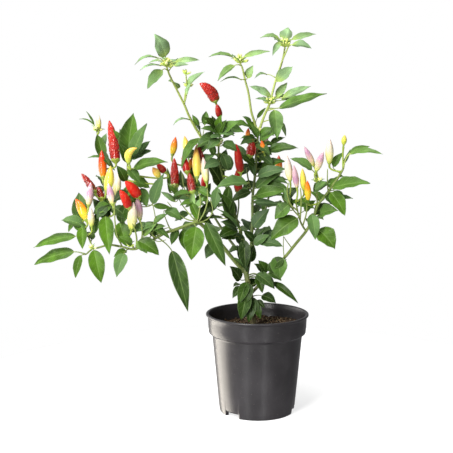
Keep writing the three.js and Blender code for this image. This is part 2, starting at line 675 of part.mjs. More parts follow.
// ---- Fruits ----
const FRUIT_RINGS = [[0, 0.38], [0.2, 0.5], [0.62, 0.42], [0.985, 0.05]];
const CALYX_LENGTH = 4;
const CALYX_RADIUS = 0.38; // as a share of the fruit's diameter
const CALYX_NECK = 1.2; // radius of the stalk where the calyx begins, as a share of PEDICEL_RADIUS
const STALK_SAG = 0.35; // how far the stalk bends out below its fruit, as a share of its length

function fruitFrame(name, [colour, tx, tz, td, bx, bz, bd, diameter, curve]) {
  const base = placeOn(name, bx, bz, bd);
  const tip = placeOn(name, tx, tz, td);
  const axis = tip.clone().sub(base);
  const length = axis.length();
  axis.divideScalar(length);
  const right = new THREE.Vector3(axis.z, 0, -axis.x).normalize();
  return { colour, base, axis, length, right, diameter, curve };
}

function fruitsOf(name) {
  return BRANCHES[name].fruits.map((fruit) => fruitFrame(name, fruit));
}

function fruitPoint(fruit, t) {
  return fruit.base
    .clone()
    .addScaledVector(fruit.axis, fruit.length * t)
    .addScaledVector(fruit.right, 4 * fruit.curve * t * (1 - t));
}

function fruitBody(fruit, extra) {
  const points = FRUIT_RINGS.map(([t]) => fruitPoint(fruit, t));
  const radii = FRUIT_RINGS.map(([, share]) => fruit.diameter * share + extra);
  points[0].addScaledVector(fruit.axis, -extra);
  points[points.length - 1].addScaledVector(fruit.axis, extra);
  return taperedTube(points, radii, FRUIT_SIDES);
}

function fruitStalk(stems, fruit, extra) {
  const seat = fruitPoint(fruit, 0);
  const down = fruit.axis.clone();
  down.addScaledVector(fruit.right, (4 * fruit.curve) / fruit.length).normalize();
  down.negate();
  const neck = seat.clone().addScaledVector(down, CALYX_LENGTH);
  const root = rootOnStems(stems, neck);
  const bend = neck.clone().addScaledVector(down, STALK_SAG * neck.distanceTo(root));
  const middle = new THREE.QuadraticBezierCurve3(root, bend, neck).getPoint(0.5);
  const points = [
    root,
    middle,
    neck,
    seat.clone().addScaledVector(down, CALYX_LENGTH / 3),
    seat.clone().addScaledVector(down, 1.5 * GAP),
  ];
  const calyx = CALYX_RADIUS * fruit.diameter;
  const radii = [PEDICEL_RADIUS, PEDICEL_RADIUS, CALYX_NECK * PEDICEL_RADIUS, calyx, calyx];
  return taperedTube(points, radii.map((r) => r + extra), STALK_SIDES);
}

// ---- Buds: a spray of young flower buds at a node ----
const GOLDEN_ANGLE = Math.PI * (3 - Math.sqrt(5));
const BUD_WIDEST = 0.6; // how far below its tip a bud is widest, as a share of its length
const LOWEST_BUD = 20; // degrees above the level
const BUD_LIFT_RANGE = 60; // degrees
function budSpray(name, [x, z, depth, count, reach], extra) {
  const centre = placeOn(name, x, z, depth);
  return Array.from({ length: count }, (_, index) => {
    const lift = THREE.MathUtils.degToRad(LOWEST_BUD + (BUD_LIFT_RANGE * (index + 0.5)) / count);
    const turn = index * GOLDEN_ANGLE;
    const along = new THREE.Vector3(
      Math.cos(lift) * Math.cos(turn),
      Math.cos(lift) * Math.sin(turn),
      Math.sin(lift),
    );
    const at = (distance) => centre.clone().addScaledVector(along, distance);
    const points = [at(0), at(reach - BUD_WIDEST * BUD_LENGTH), at(reach)];
    const radii = [BUD_STALK_RADIUS, BUD_RADIUS, BUD_TIP_RADIUS];
    return taperedTube(points, radii.map((r) => r + extra), STALK_SIDES);
  });
}

// ---- One branch: its stems with everything green that grows from them ----
function readStems(name) {
  return BRANCHES[name].stems.map(([start, end, ...places]) => ({
    points: places.map((p) => placeOn(name, ...p)),
    radii: places.map((_, index) => THREE.MathUtils.lerp(start, end, index / (places.length - 1))),
  }));
}

function branchSolid(name, extra) {
  const branch = BRANCHES[name];
  const stems = readStems(name);
  const leaves = branch.leaves.map((leaf) => leafFrame(name, leaf));
  const fruits = fruitsOf(name);
  return wasm.Manifold.union([
    ...stems.map((stem) => taperedTube(stem.points, stem.radii.map((r) => r + extra), STEM_SIDES)),
    ...leaves.map((leaf) => leafSolid(stems, leaf, extra)),
    ...fruits.map((fruit) => fruitStalk(stems, fruit, extra)),
    ...branch.buds.flatMap((spray) => budSpray(name, spray, extra)),
  ]);
}

// ---- Pot and soil ----
function lathe(profile, sides) {
  const points = profile.map(([radius, z]) => new THREE.Vector2(radius, z));
  return new THREE.LatheGeometry([...points, points[0]], sides).rotateX(Math.PI / 2);
}

function potSolid() {
  const floorTop = FLOOR_Z + WALL;
  const shell = lathe(
    [
      [0, FLOOR_Z],
      [FOOT_RADIUS - FOOT_RING_WIDTH, FLOOR_Z],
      [FOOT_RADIUS - FOOT_RING_WIDTH, 0],
      [FOOT_RADIUS - FOOT_ROUND / 2, 0],
      [FOOT_RADIUS, FOOT_ROUND],
      [BODY_TOP_RADIUS, BODY_TOP_Z],
      [COLLAR_BOTTOM_RADIUS, COLLAR_BOTTOM_Z],
      [COLLAR_TOP_RADIUS, POT_HEIGHT - 2 * LIP_HEIGHT],
      [LIP_RADIUS, POT_HEIGHT - LIP_HEIGHT],
      [LIP_RADIUS, POT_HEIGHT],
      [COLLAR_TOP_RADIUS - WALL, POT_HEIGHT],
      [COLLAR_BOTTOM_RADIUS - WALL, COLLAR_BOTTOM_Z + WALL],
      [BODY_TOP_RADIUS - WALL, BODY_TOP_Z + WALL],
      [FOOT_RADIUS - WALL, floorTop],
      [0, floorTop],
    ],
    POT_SIDES,
  );
  const notches = NOTCH_ANGLES.map((degrees) => {
    const turn = THREE.MathUtils.degToRad(degrees);
    const notch = new THREE.BoxGeometry(NOTCH_WIDTH, NOTCH_DEPTH, 2 * NOTCH_HEIGHT);
    notch.translate(0, -FOOT_RADIUS, 0).rotateZ(turn);
    return solidFromGeometry(notch);
  });
  return solidFromGeometry(shell).subtract(wasm.Manifold.union(notches));
}

// Two crossing waves make the lumps of the soil, and it rises slowly towards the right.
function soilTop(x, y) {
  const lumps = Math.sin(x / 5.1 + 0.7) * Math.cos(y / 4.3) + 0.6 * Math.sin(x / 2.9 - y / 3.7);
  return SOIL_EDGE_Z + lumps + (SOIL_RISE * x) / LIP_RADIUS;
}

function soilSolid() {
  const clear = WALL + SOIL_CLEARANCE;
  const edge = COLLAR_BOTTOM_RADIUS - clear;
  const body = lathe(
    [
      [0, FLOOR_Z + clear],
      [FOOT_RADIUS - clear, FLOOR_Z + clear],
      [BODY_TOP_RADIUS - clear, BODY_TOP_Z + clear],
      [edge, COLLAR_BOTTOM_Z + clear],
      [edge, SOIL_EDGE_Z],
      ...[...SOIL_RINGS].reverse().map((radius) => [radius, SOIL_EDGE_Z]),
      [0, SOIL_EDGE_Z],
    ],
    SOIL_SIDES,
  );
  const position = body.attributes.position;
  for (let i = 0; i < position.count; i += 1) {
    if (position.getZ(i) > (COLLAR_BOTTOM_Z + SOIL_EDGE_Z) / 2) {
      position.setZ(i, soilTop(position.getX(i), position.getY(i)));
    }
  }
  const [foot] = readStems("trunk")[0].points;
  const hole = new THREE.CylinderGeometry(
    TRUNK_HOLE_RADIUS,
    TRUNK_HOLE_RADIUS,
    2 * TRUNK_HOLE_DEPTH,
    TRUNK_HOLE_SIDES,
  );
  hole.rotateX(Math.PI / 2).translate(foot.x, foot.y, SOIL_EDGE_Z);
  return solidFromGeometry(body).subtract(solidFromGeometry(hole));
}

// ---- The whole plant ----
const plant = new THREE.Group();

function addPiece(name, solid, finish) {
  const mesh = new THREE.Mesh(geometryFromSolid(solid), new THREE.MeshStandardMaterial(finish));
  mesh.name = name;
  plant.add(mesh);
}

addPiece("pot", potSolid(), POT_MATERIAL);
addPiece("soil", soilSolid(), SOIL_MATERIAL);

const allFruits = Object.keys(BRANCHES).flatMap(fruitsOf);
allFruits.forEach((fruit, index) => {
  const number = String(index + 1).padStart(2, "0");
  addPiece(`pepper_${number}_${fruit.colour}`, fruitBody(fruit, 0), FRUIT_COLOURS[fruit.colour]);
});

// Each branch is cut clear of the fruits and of the branches before it.
let taken = wasm.Manifold.union(allFruits.map((fruit) => fruitBody(fruit, GAP)));
for (const [name, branch] of Object.entries(BRANCHES)) {
  const grown = branchSolid(name, 0).subtract(taken);
  addPiece(name, largestBody(grown), SHADES[branch.shade]);
  taken = taken.add(branchSolid(name, GAP));
}

export default plant;
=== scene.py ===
"""An ornamental chilli pepper plant with multicoloured upright fruits, in a plain nursery pot.

Lengths are in millimetres while a shape is being worked out, and in metres in the finished meshes.
"""
import json
import math
import random

import bpy
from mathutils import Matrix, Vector, noise

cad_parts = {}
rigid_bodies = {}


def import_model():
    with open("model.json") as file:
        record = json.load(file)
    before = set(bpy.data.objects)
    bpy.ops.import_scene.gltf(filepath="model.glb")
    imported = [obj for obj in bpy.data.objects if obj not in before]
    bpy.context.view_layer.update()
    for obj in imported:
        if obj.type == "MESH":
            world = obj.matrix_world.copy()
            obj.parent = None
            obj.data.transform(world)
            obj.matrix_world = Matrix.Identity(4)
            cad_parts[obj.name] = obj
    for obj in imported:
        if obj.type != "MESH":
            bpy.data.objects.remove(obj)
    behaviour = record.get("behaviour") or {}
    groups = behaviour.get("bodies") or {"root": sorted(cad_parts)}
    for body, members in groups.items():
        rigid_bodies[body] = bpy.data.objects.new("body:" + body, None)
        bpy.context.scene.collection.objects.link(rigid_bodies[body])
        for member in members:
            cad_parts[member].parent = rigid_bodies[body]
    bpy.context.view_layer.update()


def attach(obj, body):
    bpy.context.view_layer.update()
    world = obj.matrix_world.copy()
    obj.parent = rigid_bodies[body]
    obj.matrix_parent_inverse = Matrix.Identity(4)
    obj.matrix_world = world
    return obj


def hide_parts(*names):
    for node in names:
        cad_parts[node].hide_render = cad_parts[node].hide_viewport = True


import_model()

MM = 0.001
SEED = 20

# ---- The plant's layout ----
# It is a front elevation: each place is x, z and depth, with x and z as seen from EYE on the upright plane
# through the pot's axis, and the depth behind that plane. Each table has a row on each line:
# stems: radius at the base and at the tip, places
# twigs: the same, for those too thin for the solids
# leaves: place of the base, place of the tip, width, roll in degrees, arch. The leaves too small or too well
#     hidden for the solids have two more: shade from dark to pale, and how much painted grey-green sheen there is.
# fruits: colour, place of the tip, place of the base, diameter, curve
# buds: place, count, reach
# sweep: how much deeper the branch gets for each millimetre away from where it leaves its parent
EYE = Vector((-36, -1000, 335))
AIM_Z = 217.5
FOCAL_LENGTH = 69.18
BRANCHES = {
    "trunk": {
        "parent": None, "sweep": 0, "shade": "dark",
        "stems": """
3.7 2.4 -4 88 0 -5 112 0 -7 130 0 -10 147 0 -13 162 0 -17 178 2 -19 195 3 -20 213 4
""",
        "leaves": """
-20 155 -6 -32 171 -14 15 0 2
-19 147 -4 -29 133 -12 10 0 2
-12 139 -7 -19 107 -16 16 0 3
-5 134 -6 1 110 -12 8 0 2
5 136 -4 22 127 -10 13 0 4
0 161 -6 6 139 -12 11 0 2
8 160 -5 20 144 -10 10 0 2
9 163 2 -4 174 -4 11 0 2
18 152 2 48 127 -12 9 10 6
-15 184 -6 -19 200 -10 10 0 1
-13 169 -5 -12 190 -10 9 0 2
-26 206 -6 -42 203 -14 13 0 2
-22 192 10 -34 186 22 9 0 2
-4 150 8 12 150 30 13 0 3
-15 147 5 -28 147 30 13 0 3
-16 202 -6 -14 166 -12 14 0 2 0.05 0
-12 152 -6 -22 126 -14 13 0 2 0.1 0
-9 150 -7 -13 126 -14 12 0 2 0.05 0
-6 132 -6 -10 104 -14 13 0 2 0.1 0
-4 128 -6 4 108 -12 10 0 2 0 0
0 131 -5 9 121 -10 7 0 1 0 0
-1 162 -7 19 145 -12 15 0 3 0.15 0.2
10 163 -2 1 178 -8 13 0 2 0.1 0
-11 164 -6 -30 182 -12 9 20 2 0.3 0.6
-15 176 -4 -24 196 -6 12 0 2 0.05 0
-8 176 4 -4 196 8 11 0 2 0.05 0
-10 146 6 0 156 14 12 0 2 0.05 0
-16 196 2 -30 212 0 12 0 2 0.1 0.2
""",
    },
    "branch_left": {
        "parent": "trunk", "sweep": -0.3, "shade": "mid",
        "stems": """
2.9 1.4 -14 163 2 -28 179 9 -45 200 10 -62 217 4 -70 222 0 -81 219 -2 -95 214 -3 -107 210 -3 \
-116 205 -3 -128 198 -2 -143 191 0 -158 194 5
1.5 1 -143 191 0 -150 205 8 -155 225 11 -152 245 12 -150 262 10 -150 278 8 -149 300 4
""",
        "twigs": """
1 0.7 -141 192 0 -140 203 -8 -142 214 -12 -145 222 -14
1 0.7 -139 193 0 -134 205 -8 -134 218 -12 -137 228 -12
0.7 0.5 -128 198 -2 -124 206 -5 -118 222 -8 -121 244 -8
0.6 0.4 -118 204 -3 -112 212 -6 -104 216 -8 -98 214 -8
0.6 0.4 -121 202 -3 -114 200 -6 -106 202 -8
0.9 0.6 -157 194 5 -163 208 -4 -165 225 -8 -165 244 -8
""",
        "leaves": """
-60 222 -10 -37 171 -24 16 12 4
-71 217 -8 -77 178 -18 24 0 3
-86 214 4 -80 187 0 16 0 2
-99 189 -10 -81 117 -24 19 0 5
-138 201 -8 -114 184 -18 17 0 3
-130 222 -5 -101 203 -12 10 0 3
-107 236 4 -88 224 -4 13 0 5
-120 242 4 -99 239 -2 7 30 2
-121 244 -4 -108 279 -8 14 0 2
-155 186 -8 -164 158 -18 15 0 3
-152 189 4 -167 182 -2 9 0 2
-160 222 6 -152 194 0 18 0 3
-50 198 18 -60 180 14 14 0 2
-149 302 4 -142 348 8 22 0 2
-144 300 -4 -127 336 -8 15 0 2
-141 297 6 -123 316 2 12 0 2
-143 284 -4 -103 292 -14 14 0 5
-143 270 8 -124 262 4 14 0 2
-134 262 6 -128 240 0 12 0 2
-153 312 10 -166 329 12 8 0 1
-120 206 12 -132 220 46 17 0 3
-148 250 20 -138 270 52 17 0 3
-72 222 14 -86 206 46 18 0 3
-150 290 14 -160 306 44 16 0 3
-135 200 -6 -118 190 -12 10 0 2 0.68 0
-132 206 -8 -116 222 -10 9 0 2 0.7 0
-146 196 -6 -160 206 -8 10 0 2 0.6 0
-140 200 -8 -128 186 -14 12 0 2 0.7 0
-124 214 -8 -106 218 -10 8 0 2 0.66 0
-120 222 -8 -104 232 -10 8 0 2 0.6 0.4
-166 240 4 -150 226 0 14 0 2 0.15 0.3
-150 252 6 -136 240 2 14 0 2 0.1 0
-158 222 2 -150 247 2 14 0 2 0 0
-154 238 4 -139 222 0 12 0 2 0.05 0
-150 228 8 -131 251 6 13 0 2 0.25 0.3
-146 212 -2 -117 219 -10 12 0 3 0.4 0.8
-149 292 -2 -159 314 -2 11 0 2 0.1 0
-148 296 8 -158 330 10 14 0 2 0.1 0.4
-145 296 4 -122 305 0 13 0 2 0.15 0.5
-148 284 0 -136 268 -8 12 0 2 0.3 0.3
-150 258 6 -166 246 4 13 0 2 0.05 0
-152 270 8 -162 288 10 12 0 2 0.1 0
-62 214 0 -50 196 0 10 0 2 0.1 0
-92 214 2 -100 196 0 10 0 2 0.2 0.2
-118 206 4 -128 216 8 9 0 1 0.2 0.2
""",
        "fruits": """
yellow -138 308 -18 -148 291 -14 8 -5
yellow -121 286 -2 -113 275 0 8 0
red -153 270 -10 -138 253 -4 12 1
red -159 260 -16 -149 240 -12 10 1
cream -143 246 -12 -146 215 -8 11 0
mauve -139 252 -2 -136 226 -1 9 0
dark_red -116 290 2 -107 281 4 8 0
""",
        "buds": """
-149 194 -2 1.5 8
""",
    },
    "branch_far_left": {
        "parent": "branch_left", "sweep": 0.45, "shade": "mid",
        "stems": """
1.5 1.1 -158 194 5 -172 196 7 -184 193 5 -192 191 0 -199 185 -2
1.3 0.9 -191 191 0 -195 203 -1 -199 213 0 -203 222 2
1.4 0.9 -172 196 7 -172 225 11 -175 250 10 -177 270 9 -180 290 8 -182 308 6 -184 326 4
""",
        "leaves": """
-211 206 -3 -260 193 -14 14 0 4
-213 188 -6 -260 173 -20 17 0 4
-205 184 -6 -212 157 -14 10 0 3
-190 190 -8 -182 151 -18 18 0 3
-203 216 -4 -203 191 -12 12 0 2
-202 219 0 -227 225 -12 15 0 3
-203 224 12 -206 257 10 20 0 2
-210 224 6 -219 211 6 7 0 2
-190 209 4 -184 236 0 11 0 2
-170 242 2 -190 232 -6 16 0 2
-176 229 -6 -172 185 -18 17 0 3
-180 217 4 -180 200 -2 7 0 1
-178 297 4 -195 297 -2 6 20 1
-181 301 8 -164 282 10 8 0 2
-181 304 6 -173 325 2 10 0 1
-187 334 4 -204 341 0 3 20 3
-187 335 6 -196 350 6 3 20 1
-176 262 14 -186 276 40 14 0 3
-192 202 8 -206 210 36 14 0 3
-172 226 8 -190 250 8 15 0 2 0.1 0.3
-175 250 6 -164 230 0 13 0 2 0.05 0
-177 296 2 -184 324 4 13 0 2 0.2 0
-181 304 -2 -170 288 -6 10 0 2 0.15 0
-174 240 -2 -186 226 -6 12 0 2 0.1 0.3
-176 262 8 -190 252 12 12 0 2 0.05 0
-199 212 -2 -214 222 -4 13 0 2 0.4 0.3
""",
        "fruits": """
cream -182 346 0 -182 329 2 6.5 0
red -170 340 -4 -163 293 0 13 1
orange -179 306 -6 -178 274 -2 10 0
dark_red -203 279 -8 -188 257 -4 9 1
dark_red -184 264 4 -180 249 6 9.5 0
mauve -192 269 -16 -195 242 -12 9 0
orange -210 250 -10 -198 225 -6 11 1
cream -193 240 -14 -192 218 -8 8 0
yellow -169 288 -10 -174 258 -6 11 1
mauve -172 268 -22 -167 243 -18 8.5 0
cream -160 281 -6 -163 252 -4 9 0
""",
        "buds": """
-184 327 4 2 9
-192 191 -3 1.2 7
""",
    },
    "branch_middle": {
        "parent": "branch_left", "sweep": 0.5, "shade": "mid",
        "stems": """
2 1.5 -70 223 0 -74 235 0 -75 250 0 -74 264 3 -70 285 8 -66 303 8 -64 318 4
1.3 1 -75 250 0 -84 254 -2 -92 257 -3 -99 263 -4
""",
        "twigs": """
0.9 0.6 -70 222 -1 -68 232 -6 -66 246 -9 -68 258 -8
0.9 0.6 -69 222 0 -62 233 -5 -58 247 -8 -58 262 -6
0.8 0.5 -71 223 0 -78 231 -4 -86 241 -5 -91 250 -4
0.8 0.5 -73 224 0 -82 226 -5 -94 234 -8 -104 246 -8
0.8 0.5 -75 248 0 -82 256 -3 -86 268 -4 -87 280 -2
0.7 0.5 -69 222 0 -58 226 -3 -52 236 -6 -55 250 -5
""",
        "leaves": """
-65 319 -4 -88 285 -16 12 15 8
-61 334 10 -59 350 12 9 0 1
-68 332 8 -75 346 8 7 0 1
-78 256 -8 -99 251 -16 9 10 3
-86 262 4 -89 283 8 8 0 1
-101 256 -2 -104 286 -6 6 20 1
-92 252 -8 -104 266 -12 7 20 1
-74 246 -4 -90 242 -10 8 0 2
-72 250 4 -55 246 -2 9 0 2
-62 224 2 -67 236 -2 8 0 1
-66 300 16 -54 316 44 16 0 3
-76 256 10 -98 270 40 17 0 3
-72 272 12 -58 286 42 16 0 3
-76 236 -2 -74 262 -8 7 0 2 0.75 0
-72 238 -4 -62 252 -8 6 0 1 0.7 0
-90 250 -4 -104 268 -8 7 10 2 0.75 0
-95 246 -6 -112 258 -8 7 0 2 0.7 0.2
-93 252 -5 -98 278 -4 6 0 2 0.75 0
-88 268 -4 -100 262 2 12 0 2 0.1 0.2
-70 226 2 -52 220 6 12 0 2 0.08 0
-80 232 2 -96 224 6 12 0 2 0.15 0.3
-60 234 2 -44 246 8 12 0 2 0.06 0
-64 246 4 -54 268 8 10 0 2 0.06 0
-78 252 4 -72 276 10 12 0 2 0.06 0
-68 226 -2 -79 249 -6 11 0 2 0.4 0
-66 226 6 -55 247 6 11 0 2 0.05 0
-72 262 2 -52 250 -4 11 0 2 0.4 0.3
-76 252 2 -100 249 -6 12 0 3 0.25 0.7
-70 276 6 -88 288 6 13 0 2 0.05 0
-68 288 6 -50 300 2 14 0 2 0.2 0.7
-66 300 4 -88 296 0 13 0 3 0.15 0.3
-74 262 6 -88 272 8 12 0 2 0.05 0
-66 306 2 -48 316 0 11 0 2 0.15 0.2
""",
        "fruits": """
orange -94 321 -6 -98 300 -4 8 0
red -96 297 -10 -95 264 -6 10.5 0
red -86 301 -14 -81 280 -10 9 0
dark_red -79 280 -11 -75 257 -7 10 0
yellow -71 311 -10 -70 274 -6 10 0
dark_red -71 313 0 -63 292 2 6 1
orange -74 299 2 -79 284 4 6 0
cream -63 298 -8 -59 269 -4 9 0
""",
        "buds": """
-96 262 -6 1 7
""",
    },
    "shoot_left": {
        "parent": "branch_middle", "sweep": -0.5, "shade": "pale",
        "stems": """
1.6 1 -64 319 4 -72 332 2 -79 345 0 -84 357 0 -92 373 0 -100 389 0 -104 400 0
1 0.8 -84 357 0 -83 368 2 -81 377 3
""",
        "twigs": """
0.9 0.7 -84 358 0 -81 372 -2 -82 392 -4
""",
        "leaves": """
-66 325 -2 -71 334 -8 9 0 1
-78 340 -3 -97 334 -10 6 30 4
-105 411 0 -117 436 4 17 0 2
-113 409 -6 -140 402 -16 7 25 5
-110 401 -10 -134 396 -22 6 25 3
-109 396 -12 -126 375 -22 12 0 2
-94 405 6 -66 407 10 6 25 4
-95 401 -4 -79 402 -12 5 20 2
-111 407 2 -124 404 6 3 0 1
-81 379 -1 -61 394 -8 7 25 4
-82 368 -4 -76 382 -8 6 0 1
-99 398 8 -92 408 36 13 0 3
-92 375 6 -102 384 30 11 0 2
""",
        "buds": """
-104 400 0 4 11
-81 377 3 1 8
-82 391 -4 0.7 5
""",
    },
    "branch_inner": {
        "parent": "trunk", "sweep": -0.35, "shade": "dark",
        "stems": """
1.9 1.2 -20 213 4 -28 238 12 -37 265 14 -44 290 9 -45 310 3 -43 325 0
1.2 1 -24 226 8 -22 240 12 -22 250 14
""",
        "leaves": """
-48 326 -2 -66 337 -8 8 20 4
-47 328 5 -53 345 8 8 0 1
-42 321 -8 -57 319 -14 7 0 2
-47 314 8 -62 314 6 8 0 2
-40 320 4 -26 325 2 8 0 1
-40 314 6 -26 312 4 7 0 1
-41 265 12 -58 291 8 20 0 2
-43 280 16 -36 307 18 16 0 1
-12 267 -22 -49 262 -34 18 10 4
-30 230 -2 -45 257 -8 15 0 2
-28 228 12 -37 258 20 14 0 1
-24 215 -4 -43 223 -10 14 0 2
-46 229 6 -58 226 4 7 20 1
-30 238 16 -46 240 48 16 0 3
-46 322 -4 -66 330 -10 12 10 3 0.55 0.5
-40 326 -4 -22 338 -10 13 10 3 0.45 0.3
-44 318 -8 -58 306 -14 12 0 3 0.3 0.5
-40 312 -6 -24 304 -12 13 0 3 0.25 0.4
-45 330 -2 -42 346 -6 10 0 2 0.5 0
-38 330 2 -16 326 -2 12 10 3 0.4 0.5
-52 318 2 -70 308 0 13 0 3 0.12 0.2
-20 212 -10 -48 239 -16 9 25 3 0.55 0.6
-24 214 -4 -46 204 -10 16 0 3 0.08 0
-26 222 -2 -43 232 -6 12 0 2 0.08 0
-33 264 2 -37 230 -4 12 0 2 0.05 0
-46 262 2 -50 238 -4 12 0 2 0.35 0.7
-40 227 8 -61 227 4 8 30 1 0.7 0.4
-8 258 -4 -31 246 -10 12 0 3 0.05 0
-30 284 6 -50 302 10 16 0 2 0.2 0.6
-44 292 -2 -62 284 -8 14 0 3 0.15 0.6
-40 300 -4 -34 282 -10 12 0 2 0.1 0.2
-46 322 -6 -36 340 -8 11 0 2 0.15 0
-50 330 -2 -64 343 -6 10 0 3 0.1 0
-44 326 -8 -27 322 -14 12 0 3 0.45 0.8
-48 318 -6 -64 322 -12 11 0 3 0.15 0.2
-50 300 0 -58 316 2 9 0 2 0.2 0.2
""",
        "fruits": """
red -67 381 -4 -49 362 0 13 3
dark_red -47 358 -2 -44 344 0 7.5 0
dark_red -24 284 8 -22 258 12 10 0
dark_red -25 313 -8 -20 281 -4 9.5 0
""",
        "buds": """
-45 310 3 2 10
""",
    },
    "branch_centre": {
        "parent": "trunk", "sweep": 0.12, "shade": "dark",
        "stems": """
2.5 1.6 -12 161 4 -9 180 7 -7 200 7 -6 225 5 -6 250 3 -4 270 2 -2 290 0 -1 310 -2 0 324 -2
1.2 1 -6 255 3 -11 272 0 -13 286 -3
""",
        "leaves": """
2 199 -4 30 194 -14 14 0 3
-4 201 -3 -17 213 -9 11 0 1
-3 204 3 9 216 0 10 0 1
6 202 10 21 214 12 11 0 1
-5 217 3 13 238 -3 18 0 1
-4 246 0 25 243 -8 9 20 2
-2 253 -12 33 258 -26 16 10 5
3 262 -4 38 258 -16 15 0 7
0 276 -8 33 284 -18 14 10 4
4 284 2 32 293 -6 13 0 4
12 304 -6 46 308 -18 12 0 3
4 325 -4 19 322 -10 8 0 1
5 314 4 19 311 0 8 0 1
14 312 8 31 320 8 8 0 2
-9 331 -6 -37 328 -18 12 10 7
-8 336 8 -18 344 8 6 0 2
-1 342 8 9 354 8 5 10 1
-4 321 4 -20 319 2 7 0 1
-13 296 8 -27 313 10 10 0 1
-8 290 -2 -4 276 -6 8 0 1
-12 262 4 -28 248 0 10 0 2
-2 232 12 10 246 42 17 0 3
-8 212 14 -18 226 44 17 0 3
0 262 12 16 270 42 17 0 3
2 302 8 14 300 40 15 0 3
-4 318 -6 -20 312 -12 12 0 3 0.35 0.4
2 322 -4 20 330 -10 12 10 3 0.45 0.2
-2 312 -8 14 300 -14 12 0 3 0.2 0.3
-3 326 0 -14 340 -4 11 0 2 0.4 0
-6 249 -8 31 254 -20 13 0 5 0.4 0.4
-2 262 -6 29 281 -12 15 0 4 0.2 0.3
4 275 -4 36 266 -14 11 0 5 0.25 0.6
-4 196 -4 14 208 -8 12 0 2 0.2 0.5
-4 288 -4 -22 300 -8 12 0 2 0.1 0
2 300 -6 18 288 -12 12 0 2 0.15 0.3
-1 310 4 -16 322 6 11 0 2 0.05 0
2 316 -6 22 326 -12 12 0 3 0.4 0.3
-6 270 6 -16 256 10 12 0 2 0.05 0
-5 278 8 8 292 16 13 0 2 0.05 0
3 268 8 20 292 14 14 0 2 0.1 0
-8 288 8 -22 276 12 14 0 2 0.05 0
0 320 -8 -10 336 -12 9 0 1 0.5 0.2
10 303 -4 44 309 -10 13 0 4 0.45 0.8
4 308 0 16 300 -4 10 0 2 0.3 0.3
-2 292 10 14 310 20 13 0 2 0.08 0
""",
        "fruits": """
red -6 318 -10 -9 299 -6 11 0
orange -11 331 -6 -12 319 -4 5.5 0
mauve 12 322 -8 6 316 -6 6.5 0
orange 4 317 -12 7 303 -9 6.5 0
""",
        "buds": """
0 324 -2 2 8
""",
    },
    "shoot_middle": {
        "parent": "branch_centre", "sweep": -0.35, "shade": "pale",
        "stems": """
1.5 0.9 -1 326 -1 -4 337 1 -8 350 2 -11 370 2 -15 385 1 -18 398 0 -21 404 0
""",
        "leaves": """
-28 410 0 -56 411 -4 8 20 3
-16 411 -4 13 417 -14 7 10 1
-27 401 -8 -46 384 -18 8 0 3
-19 385 -6 -43 383 -14 4 20 4
-12 387 2 -6 401 4 9 0 1
-22 404 6 -30 412 32 11 0 3
""",
        "buds": """
-21 404 0 3 10
""",
    },
    "shoot_right": {
        "parent": "branch_centre", "sweep": 0.35, "shade": "pale",
        "stems": """
1.6 1 1 326 -3 4 336 -2 8 347 -2 13 358 -2 16 370 -2 20 385 -1 24 396 0 28 410 0 30 422 0
""",
        "twigs": """
1 0.8 22 391 0 27 406 -2 33 420 -2 36 428 -2
""",
        "leaves": """
24 430 0 2 432 -6 8 10 3
29 429 6 34 443 14 14 0 1
24 427 -8 16 412 -16 7 0 2
38 430 2 65 436 -4 8 10 2
38 424 -6 60 420 -16 11 0 4
22 383 -4 39 400 -8 14 0 1
10 391 -2 -4 387 -8 6 20 3
14 366 -4 -10 378 -10 10 0 2
12 361 -8 -3 364 -14 6 10 1
21 365 4 33 382 8 9 0 1
28 365 -2 60 378 -8 9 10 2
26 362 4 43 368 6 5 10 1
24 353 -8 78 370 -26 13 0 3
19 351 -12 22 318 -22 15 0 3
26 338 -4 32 321 -10 5 0 1
26 424 6 18 430 32 12 0 3
16 358 8 30 366 40 15 0 3
""",
        "buds": """
30 422 0 4 11
13 358 -2 5 10
""",
    },
    "branch_right": {
        "parent": "trunk", "sweep": -0.28, "shade": "mid",
        "stems": """
2.3 1.5 -8 138 6 2 149 8 15 163 7 32 182 3 44 197 0 56 212 -2 64 227 -1 69 242 0 76 251 0 82 259 0 91 272 0 98 284 0
1.3 1 56 212 -2 50 222 -3 46 236 -4 44 246 -3
1 0.8 48 229 -3 40 238 -5 35 246 -6
1.1 0.8 69 242 0 68 256 1 70 268 0
""",
        "twigs": """
1 0.7 46 236 -4 38 243 -8 34 256 -10 35 268 -10
0.9 0.6 49 225 -3 50 240 -8 50 252 -10 49 262 -10
0.9 0.6 52 218 -3 56 232 -8 57 246 -10
0.8 0.5 81 258 0 80 270 -4 80 284 -6
0.6 0.4 40 192 1 34 200 -3 30 206 -5
0.6 0.4 31 181 2 30 192 -2 30 206 -5
""",
